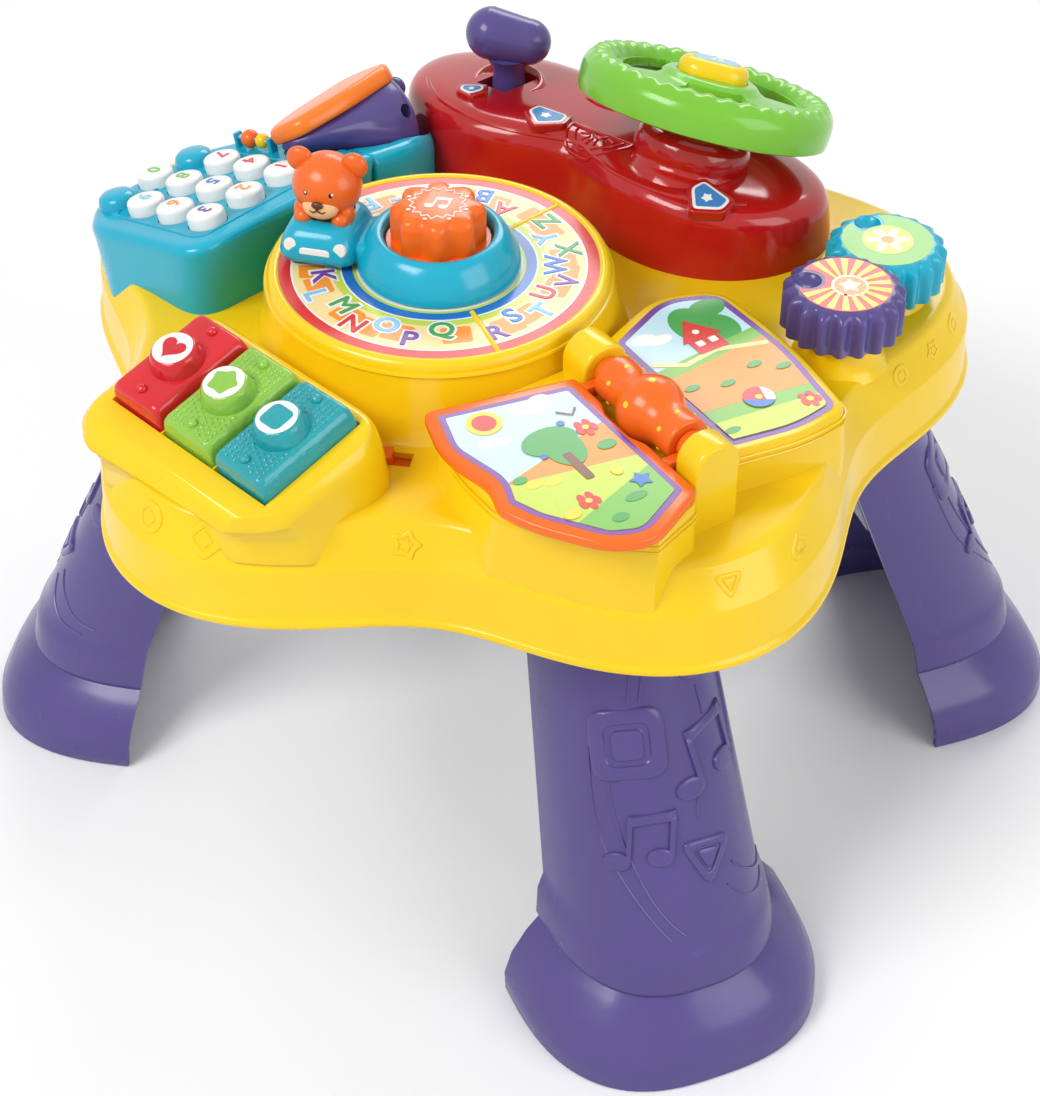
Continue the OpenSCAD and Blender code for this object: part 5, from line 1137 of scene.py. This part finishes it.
def inset(corners, d):
    """Corners (x, y, radius) of a counter-clockwise polygon whose edges are drawn in by d."""
    out = []
    for i, (x, y, r) in enumerate(corners):
        p, q, s = Vector(corners[i - 1][:2]), Vector((x, y)), Vector(corners[(i + 1) % len(corners)][:2])
        u, v = (q - p).normalized(), (s - q).normalized()
        m = Vector((-u.y - v.y, u.x + v.x))
        m *= d / (1 + u.dot(v))
        bend = u.x * v.y - u.y * v.x
        out.append((x + m.x, y + m.y, max(r - d, 0.8) if bend > 0 else r))
    return out


def picture(name, matrix, z, layers, body, replaces):
    """Printed layers, each an ink and outlines, laid one on another."""
    for i, (tint, shapes) in enumerate(layers):
        piece("%s_%d" % (name, i), flat(shapes, z + 0.05 * i, 0.1), matrix, tint, body, replaces)


PAGE_MID, PAGE_OUT = -3.8, -68.7
WAVY = [(PAGE_MID - 40.5, PAGE_OUT + 4, 4), (PAGE_MID - 18, PAGE_OUT - 2.5, 10), (PAGE_MID + 4, PAGE_OUT + 2.5, 8),
        (PAGE_MID + 15, PAGE_OUT - 1.5, 4), (PAGE_MID + 28, PAGE_OUT + 3.5, 8), (PAGE_MID + 48.5, PAGE_OUT + 18, 8),
        (PAGE_MID + 54.5, PAGE_OUT + 32, 10), (PAGE_MID + 41.5, -11.4, 4)]
PAGE = rounded(WAVY + [(22, -11.4, 2), (PAGE_MID + 13, -11.4, 1), (PAGE_MID + 7, -13.9, 1), (PAGE_MID - 7, -13.9, 1),
                       (PAGE_MID - 13, -11.4, 1), (-29.6, -11.4, 1), (PAGE_MID - 29.5, -11.6, 3)], 8)
piece("page_leaf", pill(PAGE, 237.8, 241.8, 1.3), BOOK, "orange", "flip_page", ["flip_page"], 60)
arms = []
for x in (-29.6, 18):
    arms.append(shifted(pill(circle(5.4, 40), x, x + 4, 0.5, 2), move(0, -1, BOOK_AXIS) @ ALONG_X))
    arms.append(shifted(pill(round_rect(-13.5, -1, 238.2, 241.6, 0.8, 3), x, x + 4, 0.4, 2), ALONG_X))
piece("page_knuckles", joined(*arms), BOOK, "orange", "flip_page", ["flip_page"])

FRAME = rounded(inset(WAVY + [(PAGE_MID - 29.5, -11.4, 3)], 4.2), 8)
VIEW = rounded(inset(WAVY + [(PAGE_MID - 29.5, -11.4, 3)], 6.4), 8)
flower = [oval(2.1, 1.3, *polar(2.6, 72 * k)) for k in range(5)]
picture("page_print", BOOK, 241.78, [
    ("ink_purple", [FRAME]), ("ink_pale", [VIEW]),
    ("ink_white", [oval(3, 5, -28, -36), oval(2.4, 6, -25.6, -32), oval(2.6, 4, -29, -29), oval(2.4, 4, -18, -55), oval(2, 3.4, -16.4, -51)]),
    ("ink_orange", [clip(VIEW, (1, 0.25), -12)]),
    ("ink_lime", [clip(VIEW, (1, -0.2), 16)]), ("ink_leaf", [clip(VIEW, (1, 0.35), 12)]),
    ("ink_yellow", [oval(6.2, 6.2, -27.6, -51), oval(2, 3, 8, -54), oval(2, 3, 10, -48)]),
    ("ink_red", [oval(4.2, 4.2, -27.6, -51)] + [moved(s, -8, -24) for s in flower] + [moved(s, 24, -44) for s in flower]),
    ("ink_green", [oval(11, 7, -4, -36), oval(7, 10, -8, -38), oval(2.4, 3.4, 3, -23), oval(2, 4, 30, -30),
                   oval(2, 3, 36, -40), oval(1.8, 2.6, 4, -57)]),
    ("ink_brown", [round_rect(0, 15, -38.6, -35.4, 1, 3), band([(-20, -28), (-16, -24), (-19, -21)], 0.8)]),
    ("ink_yellow", [circle(1.2, 16, -8, -24), circle(1.2, 16, 24, -44), oval(2.2, 3, 27, -52), oval(2.4, 2, 16, -28)]),
    ("ink_blue", [moved(star_shape(4.2, 5, 0.5, 0.6), 24, -24, 90), circle(1.4, 16, -14, -30), circle(1.2, 16, -2, -44)]),
], "flip_page", ["flip_page"])

LEAF = rounded([(-47.5, 15, 3), (-29, 14.6, 3), (20, 14.6, 3), (24.5, 40, 10), (21.5, 57.5, 4), (-12, 63.5, 12),
                (-53, 62.5, 6), (-61, 44, 9), (-50, 20, 6)], 8)
SCENE = shrink(LEAF, 2.6)
picture("base_print", BOOK, 236.58, [
    ("ink_purple", [LEAF]), ("ink_pale", [SCENE]),
    ("ink_white", [oval(3, 5, -44, 24), oval(2.6, 5, -41, 29)]),
    ("ink_green", [oval(11, 8, -42, 44), oval(8, 6, -36, 52), oval(5, 7, -48, 54)]),
    ("ink_leaf", [clip(SCENE, (1, 0.1), -24)]),
    ("ink_orange", [clip(clip(SCENE, (1, 0.1), -18), (-1, 0.15), 2)]),
    ("ink_cream", [band([(-30, 18), (-24, 28), (-26, 42), (-20, 60)], 2.2)]),
    ("ink_red", [[(-34, 34), (-46, 42), (-34, 50)], round_rect(-35, -26, 36, 48, 0.6, 2)]),
    ("ink_white", [round_rect(-33, -30, 38, 41, 0.4, 2), round_rect(-33, -30, 43.4, 46.4, 0.4, 2),
                   circle(1.3, 16, -38, 42)]),
    ("ink_lime", [clip(SCENE, (1, -0.12), 6)]),
    ("ink_green", [oval(1.6, 3, -12, 22), oval(1.6, 3, -8, 34), oval(1.6, 3, -12, 48), oval(1.6, 3, -6, 56), oval(1.6, 3, 14, 20)]),
    ("ink_red", [oval(5.6, 5.6, 4, 38)] + [moved(s, 14, 52) for s in flower]),
    ("ink_white", [clip(oval(5.6, 5.6, 4, 38), (0.3, 1), 39.6)]),
    ("ink_blue", [clip(oval(5.6, 5.6, 4, 38), (1, -0.6), -14.6)]),
    ("ink_yellow", [circle(1.3, 16, 14, 52), circle(1.3, 16, 4, 38)]),
], "root", ["table_top"])
piece("page_edge_lines", joined(*[bead([Vector(p) for p in book_ring(0.55, z)], 0.55, True, 6) for z in (232.9, 230.6)]),
      PLACE, "yellow", replaces=["table_top"])

H = 42.8
ROLLER = [(2.2, 0), (7.4, 0), (8.0, 0.3), (8.4, 1.2), (8.3, 0.12 * H), (8.1, 0.22 * H), (8.8, 0.3 * H), (10.2, 0.36 * H),
          (11.4, 0.42 * H), (12, 0.5 * H), (11.4, 0.58 * H), (10.2, 0.64 * H), (8.8, 0.7 * H), (8.1, 0.78 * H),
          (8.3, 0.88 * H), (8.4, H - 1.2), (8.0, H - 0.3), (7.4, H), (2.2, H)]
ROLL = BOOK @ move(-25.2, -1, BOOK_AXIS) @ turn(90, "Y")
piece("roller_body", ring_solid([ROLLER[0]] + [tuple(p) for p in curve_through(ROLLER[1:-1], 2)] + [ROLLER[-1]], 96), ROLL,
      "orange", "spine_roller", ["spine_roller"], 45)
dots = []
for k in range(6):
    for at, size in ((0.5, 1.5), (0.16, 1.1), (0.84, 1.1)):
        r = 11.7 if at == 0.5 else 8.1
        dots.append(shifted(revolve([(0, -0.6), (size, -0.4), (size * 0.7, 0.35), (0, 0.5)], 20),
                            turn(60 * k, "Z") @ move(r, 0, at * H) @ turn(90, "Y")))
piece("roller_dots", joined(*dots), ROLL, "ink_yellow", "spine_roller", ["spine_roller"])

# ---------- gears ----------

GEAR_LINE = math.degrees(math.atan2(38, 20))
GEAR_LEVELS = [(1.6, 0), (0.6, 0.3), (0, 1.2), (0, 13.8), (0.3, 15), (1.2, 16.2), (2.2, 17), (3.4, 17.4), (4.6, 17.5)]


def gear_ring(sign, first, inset, z):
    out = []
    for k in range(432):
        a = 360 * k / 432
        wave = math.cos(rad(18 * a))
        depth = max(0.0, 1 - inset / 3)
        out.append(Vector((*polar(20.6 + sign * 1.3 * wave * depth - inset, a + first), z)))
    return out


SUN = [[polar(17.4, 30 * k + 9 * j / 6) for j in range(11)] + [polar(5, 30 * k + 7.5)] for k in range(12)]
for i, (gear_name, tint, first, sign, dip) in enumerate((("gear_purple", "purple", GEAR_LINE, 1, 168),
                                                        ("gear_teal", "teal", GEAR_LINE + 180, -1, 118))):
    body = gear_name
    where = GEARS[i]
    gear = piece(body + "_wheel", loft([gear_ring(sign, first, d, z) for d, z in GEAR_LEVELS]), where, tint, body, [body],
                 sharp=45)
    cut(gear, [cutter("dimple", ball(5.6, 48), where @ turn(dip, "Z") @ move(13, 0, 20.2)),
               cutter("bore", revolve([(0, -3), (5.35, -3), (5.35, 9.9), (0, 9.9)], 48), where)])
    dress(gear, tint, body, [body], 42)
    disc = circle(16.6, 96)
    hole = polar(13, dip)
    face = [p for p in disc if (p - hole).length > 6.1]
    start_at = max(range(len(face)), key=lambda k: (face[k] - face[k - 1]).length)
    face = face[start_at:] + face[:start_at]
    bite = [hole + polar(6.1, dip + s) for s in range(100, 261, 10)]
    if (face[-1] - bite[0]).length > (face[-1] - bite[-1]).length:
        bite.reverse()
    sticker = face + bite
    if i == 0:
        rays = [moved([(0, 0), polar(16.2, 20 * k), polar(16.2, 20 * k + 10)]) for k in range(0, 18)
                if abs((20 * k + 5 - dip + 180) % 360 - 180) > 34]
        picture("gear_purple_sign", where, 17.48, [
            ("ink_red", [sticker]), ("ink_yellow", rays), ("ink_white", [circle(6.6, 40, 1.6, -1)]),
            ("ink_orange", [circle(5.6, 40, 1.6, -1)]), ("ink_white", [moved(star_shape(4.4), 1.6, -1)])], body, [body])
    else:
        leaves = [moved(oval(3.4, 1.5, 4.6, 0), 0, 0, 60 * k) for k in range(6)]
        picture("gear_teal_sign", where, 17.48, [
            ("ink_leaf", [sticker]), ("ink_lime", [circle(9.4, 48)]), ("ink_white", leaves), ("ink_orange", [circle(2.4, 28)])],
            body, [body])

# ---------- dashboard ----------

DASH_LEVELS = [(1, -1, 0.6), (1, -0.5, 6), (1, 0.3, 12), (1, 1.2, 17), (1, 2.3, 19.4), (1, 4, 21.2), (0.965, 4, 22.6),
               (0.92, 4, 23.6), (0.84, 4, 24.7), (0.75, 4, 25.4), (0.6, 4, 25.9), (0.45, 4, 26.2), (0.16, 4, 26.4)]


def dash_edge(a, inset):
    p = polar(63.5 + 30.5 * math.cos(rad(2 * a)) - inset, a)
    return Vector((p.x, p.y * 0.8)) if p.y > 0 else p


def dash_z(p, h):
    return TOP + h - p[1] * math.tan(rad(10)) * h / 26


def dash_ring(share, inset, h, n=180):
    out = []
    for i in range(n):
        p = dash_edge(360 * i / n, inset) * share
        out.append(Vector((p.x, p.y, dash_z(p, h))))
    return out


CROWN = [(0.16, 26.4), (0.45, 26.2), (0.6, 25.9), (0.75, 25.4), (0.84, 24.7), (0.92, 23.6), (0.965, 22.6), (1, 21.2)]


def dash_top(x, y):
    """Point on the housing's crown over (x, y)."""
    p = Vector((x, y))
    share = p.length / dash_edge(math.degrees(math.atan2(y, x)), 4).length
    return Vector((x, y, dash_z(p, lookup(share, CROWN))))


dash = piece("dash_shell", loft([lift([p.to_2d() for p in dash_ring(1, -1, 0)], 217.5)]
                                + [dash_ring(*v) for v in curve_through(DASH_LEVELS, 2)]),
             DASH, "red", replaces=["dash_housing"], sharp=60)
cut(dash, [cutter("lever_slot", box_mesh(-57.1, -42.9, -15.5, 7.5, 222, 260), DASH)])
dress(dash, "red", "root", ["dash_housing"], 50)
collar = piece("lever_collar", ring_solid([(17.6, 236), (17, 240.6), (15.4, 244.2), (14, 246.2), (13, 246.6), (12.2, 246),
                                           (11.2, 242), (10.6, 236)], 72), DASH @ move(-50, -4), "red",
               replaces=["dash_housing"], sharp=60)

COLUMN = [(0, -52), (27.4, -52), (26.6, -46.5), (25.6, -43), (24.2, -38.5), (22.4, -35), (21.4, -33.4), (21.4, -32.2), (22.2, -31),
          (22.4, -28), (22.2, -25.4), (21.4, -23.4), (19.6, -21.6), (17, -21), (7, -21), (7, -23), (0, -23)]
piece("dash_column", revolve(COLUMN, 96), WHEEL, "red", replaces=["dash_housing"], sharp=50)


def on_dash(points, height=0.1):
    return [dash_top(p[0], p[1]) + Vector((0, 0, height)) for p in points]


def fan_lines():
    """Raised half-round dial on the housing."""
    at = Vector((7, -19))
    parts = [bead(on_dash([at + polar(14, a) for a in range(180, 361, 6)]), 0.8, False, 8),
             bead(on_dash([at + polar(10.5, a) for a in range(186, 355, 6)]), 0.55, False, 8),
             bead(on_dash([at + Vector((x, 0)) for x in range(-14, 15, 4)]), 0.8, False, 8)]
    for a in range(205, 340, 26):
        parts.append(bead(on_dash([at + polar(r, a) for r in (4.5, 6.5, 8.5)]), 0.5, False, 6))
    parts.append(bead(on_dash([at + polar(3.2, a) for a in range(180, 361, 15)]), 0.6, False, 6))
    return joined(*parts)


piece("dash_fan", fan_lines(), DASH, "red", replaces=["dash_housing"])
ridge = [dash_edge(a, 4) * 0.93 for a in range(196, 346, 3)]
piece("dash_ridge", bead(on_dash(ridge, -0.35), 1.1, False, 8), DASH, "red", replaces=["dash_housing"])
swirl = [Vector((-8 + 17 * math.cos(t) * (1 - t / 9), 7 + 7 * math.sin(t) * (1 - t / 9))) for t in [0.25 * k for k in range(26)]]
piece("dash_swirl", bead(on_dash(swirl, 0), 0.8, False, 8), DASH, "red", replaces=["dash_housing"])


def badge_edge(k, g):
    return rounded([(-7.5 * k - g, -1 - g / 2, 2), (0, -8 * k - 1.3 * g, 2), (7.5 * k + g, -1 - g / 2, 2),
                    (6.5 * k + g, 4.6 * k + g, 2), (-6.5 * k - g, 4.6 * k + g, 2)], 5)


for i, (x, y, a, size) in enumerate(((-16, -24, 6, 1), (64.5, -32, -8, 1), (-51.8, -25, 30, 0.62))):
    slope_x = dash_top(x + 4, y).z - dash_top(x - 4, y).z
    slope_y = dash_top(x, y + 4).z - dash_top(x, y - 4).z
    spot = (DASH @ Matrix.Translation(dash_top(x, y)) @ turn(a, "Z")
            @ turn(-math.degrees(math.atan(slope_x / 8)), "Y") @ turn(math.degrees(math.atan(slope_y / 8)), "X"))
    piece("badge_frame_%d" % i, pill(badge_edge(size, 1.8), -3, 1.9, 0.7), spot, "red", replaces=["dash_housing"])
    piece("badge_border_%d" % i, pill(badge_edge(size, 0.2), 1.2, 2.15, 0.2, 2), spot, "ink_white", replaces=["dash_badges"])
    piece("badge_field_%d" % i, prism(shrink(badge_edge(size, 0), 0.9), 1.9, 2.3), spot, "blue", replaces=["dash_badges"])
    piece("badge_star_%d" % i, prism(moved(star_shape(2.6 * size), 0, -0.8), 2.1, 2.42), spot, "ink_white",
          replaces=["dash_badges"])

# ---------- steering wheel, horn and lever ----------

RIM = [(35.6, -5.6), (35.6, -13.4), (36.2, -14.2), (37.6, -14), (38, -13.2), (38, -3.6), (45, -3.6), (45.2, -13.6),
       (45.8, -14.8), (47, -15.1), (48, -14.6), (48.4, -12.6), (48.6, -7), (48.2, -4.6), (47.4, -2.8), (46.2, -1.4), (44.8, -0.5),
       (43, 0), (41, 0.05), (39.2, -0.5), (37.6, -1.5), (36.4, -2.9)]


def rim_mesh(n=288):
    """Ring of the steering wheel, with a rope-like row of bumps along its top."""
    verts, faces = [], []
    m = len(RIM)
    for i in range(n):
        a = 360 * i / n
        wave = 0.5 + 0.5 * math.cos(rad(36 * a))
        for r, z in RIM:
            bump = 0.9 * wave * smooth((z + 3.2) / 2.6) * (1 if 36 < r < 46 else 0)
            verts.append(Vector((*polar(r, a), z + bump)))
    for i in range(n):
        a, b = i * m, ((i + 1) % n) * m
        for k in range(m):
            j = (k + 1) % m
            faces.append((a + k, b + k, b + j, a + j))
    return verts, faces


piece("wheel_rim", rim_mesh(), WHEEL, "green", "wheel", ["steering_wheel"], 50)
spokes = piece("wheel_spokes", revolve([(0, -17), (10.4, -17), (11, -16.4), (11, -6.4), (36, -6.4), (36.4, -3.2), (33, -2.9),
                                        (21, -2.5), (19, -1.4), (17.4, 0), (16.4, 0.5), (0, 0.5)], 120),
               WHEEL, "green", "wheel", ["steering_wheel"])
for a in (-90, 30, 150):
    sector = [polar(33.6, a - 52 + s) for s in range(-36, 37, 4)] + [polar(18.9, a - 52 + s) for s in range(33, -34, -3)]
    cut(spokes, [cutter("opening", prism(sector, -20, 6), WHEEL)])


def capsule(half, r):
    return ([Vector((half, 0)) + polar(r, a) for a in range(-90, 91, 9)]
            + [Vector((-half, 0)) + polar(r, a) for a in range(90, 271, 9)])


cut(spokes, [cutter("horn_recess", prism(capsule(4.5, 9.4), -8.5, 12), WHEEL @ turn(-52, "Z")),
             cutter("shaft_bore", revolve([(0, -20), (6.01, -20), (6.01, -10.5), (0, -10.5)], 48), WHEEL)])
soften(spokes, 0.9, 3, 40)
dress(spokes, "green", "wheel", ["steering_wheel"], 50)
HORN = WHEEL @ turn(-52, "Z")
horn_rings = [(-5.5, 0.4), (-5, 0), (2.6, 0), (4, 0.35), (5.2, 1.1), (6, 2.2), (6.4, 3.6), (6.5, 5)]
piece("horn_cap", loft([lift(capsule(4.5, 9 - d), z) for z, d in horn_rings]), HORN, "yellow", "horn_button", ["horn_button"], 50)
piece("horn_inset", pill(capsule(4.5, 4.6), 6.2, 6.75, 0.25, 2), HORN, "sky", "horn_button", ["horn_button"])
piece("horn_note", flat([moved(o, k=0.62) for o in note_outlines()], 6.72, 0.12), HORN, "ink_white", "horn_button",
      ["horn_button"])

LEVER = DASH @ move(-50, -4)
piece("lever_stem", revolve([(0, 224.5), (6.5, 224.5), (6.5, 246), (6.2, 249), (6.6, 252), (7.8, 255), (9.4, 257.6), (0, 259)], 64),
      LEVER, "purple", "shift_lever", ["shift_lever"], 50)


def head_mesh():
    """Two unequal balls joined by their common cone, laid along X."""
    rings = []
    for i in range(13):
        a = rad(180 - 90 * i / 12)
        rings.append((-6.5 + 10.4 * math.cos(a), 10.4 * math.sin(a), 265.6))
    for i in range(1, 8):
        t = i / 8
        rings.append((mix(-6.5, 8, t), mix(10.4, 9, t), mix(265.6, 263.5, t)))
    for i in range(13):
        a = rad(90 - 90 * i / 12)
        rings.append((8 + 9 * math.cos(a), 9 * math.sin(a), 263.5))
    n = 48
    return loft([[Vector((x, max(r, 0.05) * math.cos(TAU * k / n), z + max(r, 0.05) * math.sin(TAU * k / n)))
                  for k in range(n)] for x, r, z in rings])


piece("lever_head", head_mesh(), LEVER @ turn(25.6, "Z"), "purple", "shift_lever", ["shift_lever"], 60)

# ---------- CAD pieces that stay, with their materials ----------

KEPT = {
    "bottom_cover": "off_white", "battery_door": "off_white", "hub_retainer": "off_white", "leg_screws": "steel",
    "case_screws": "steel", "battery_contacts": "steel", "inner_screws": "steel", "handset_pin": "steel",
    "bead_rail": "steel", "key_rod": "steel", "spine_pin": "steel", "shift_pin": "steel", "music_spring": "steel",
    "horn_spring": "steel", "battery_cells": "cell", "speaker": "black", "main_board": "board",
    "key_board": "board", "phone_dome_mat": "rubber", "steering_shaft": "white", "power_switch": "orange",
}
for kept_name, kept_mat in KEPT.items():
    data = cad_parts[kept_name].data
    if not data.materials:
        data.materials.append(M[kept_mat])
    for k in range(len(data.materials)):
        data.materials[k] = M[kept_mat]

# ---------- camera, light and floor ----------

camera = bpy.data.objects.new("camera", bpy.data.cameras.new("camera"))
camera.location = (-0.00158, -0.73612, 0.71243)
aim = Vector((-0.00158, 0.03920, 0.04456)) - camera.location
camera.rotation_euler = aim.to_track_quat("-Z", "Y").to_euler()
camera.data.lens = 76.95
camera.data.sensor_width = 36
camera.data.clip_start = 0.01
bpy.context.scene.collection.objects.link(camera)
bpy.context.scene.camera = camera


def lamp(name, place, aim_at, size, power):
    light = bpy.data.lights.new(name, "AREA")
    light.shape = "RECTANGLE"
    light.size, light.size_y = size
    light.energy = power
    o = bpy.data.objects.new(name, light)
    o.location = place
    o.rotation_euler = (Vector(aim_at) - Vector(place)).to_track_quat("-Z", "Y").to_euler()
    bpy.context.scene.collection.objects.link(o)


MIDDLE = (0, 0, 0.2)
lamp("key_light", (-0.9, -0.7, 1.35), MIDDLE, (0.8, 0.6), 17)
lamp("fill_light", (1.1, -0.8, 0.8), MIDDLE, (0.9, 0.9), 8)
lamp("back_light", (0.3, 1.2, 1.1), MIDDLE, (1.0, 0.5), 9)



def shown_rays(tree):
    """1 for the rays that meet the white background: camera, mirror and see-through rays."""
    rays = node(tree, "ShaderNodeLightPath").outputs
    shown = rays["Is Camera Ray"]
    for ray in ("Is Glossy Ray", "Is Transmission Ray"):
        shown = math_node(tree, "MAXIMUM", shown, rays[ray])
    return shown


world = bpy.context.scene.world or bpy.data.worlds.new("world")
bpy.context.scene.world = world
world.use_nodes = True
tree = world.node_tree
tree.nodes.clear()
soft = node(tree, "ShaderNodeBackground")
soft.inputs["Color"].default_value = (0.97, 0.98, 1.0, 1)
soft.inputs["Strength"].default_value = 0.5
seen = node(tree, "ShaderNodeBackground")
seen.inputs["Color"].default_value = (1, 1, 1, 1)
seen.inputs["Strength"].default_value = 1.0
switch = node(tree, "ShaderNodeMixShader")
tree.links.new(shown_rays(tree), switch.inputs[0])
tree.links.new(soft.outputs[0], switch.inputs[1])
tree.links.new(seen.outputs[0], switch.inputs[2])
tree.links.new(switch.outputs[0], node(tree, "ShaderNodeOutputWorld").inputs[0])

floor_mat, floor_tree, floor_bsdf, floor_coords = start("floor")
floor_tree.links.new(ramp(floor_tree, [(0.3, (0.86, 0.86, 0.86)), (0.7, (0.89, 0.89, 0.89))],
                          noise(floor_tree, floor_coords, 3)), floor_bsdf.inputs["Base Color"])
floor_bsdf.inputs["Roughness"].default_value = 0.7

# Past the table's shadow the floor fades into the white background
FADE_FROM, FADE_TO = 0.45, 1.0
away = node(floor_tree, "ShaderNodeVectorMath", operation="LENGTH")
floor_tree.links.new(floor_coords, away.inputs[0])
fade = node(floor_tree, "ShaderNodeMapRange", interpolation_type="SMOOTHSTEP")
fade.inputs["From Min"].default_value = FADE_FROM
fade.inputs["From Max"].default_value = FADE_TO
floor_tree.links.new(away.outputs["Value"], fade.inputs["Value"])
veil = node(floor_tree, "ShaderNodeMixShader")
floor_tree.links.new(math_node(floor_tree, "MULTIPLY", fade.outputs["Result"], shown_rays(floor_tree)), veil.inputs[0])
floor_tree.links.new(floor_bsdf.outputs[0], veil.inputs[1])
floor_tree.links.new(node(floor_tree, "ShaderNodeEmission").outputs[0], veil.inputs[2])
floor_tree.links.new(veil.outputs[0], floor_tree.nodes["Material Output"].inputs["Surface"])
floor_data = bpy.data.meshes.new("floor")
floor_data.from_pydata([(-4, -4, 0), (4, -4, 0), (4, 4, 0), (-4, 4, 0)], [], [(0, 1, 2, 3)])
floor = bpy.data.objects.new("floor", floor_data)
floor_data.materials.append(floor_mat)
bpy.context.scene.collection.objects.link(floor)

bpy.context.scene.view_settings.view_transform = "Standard"
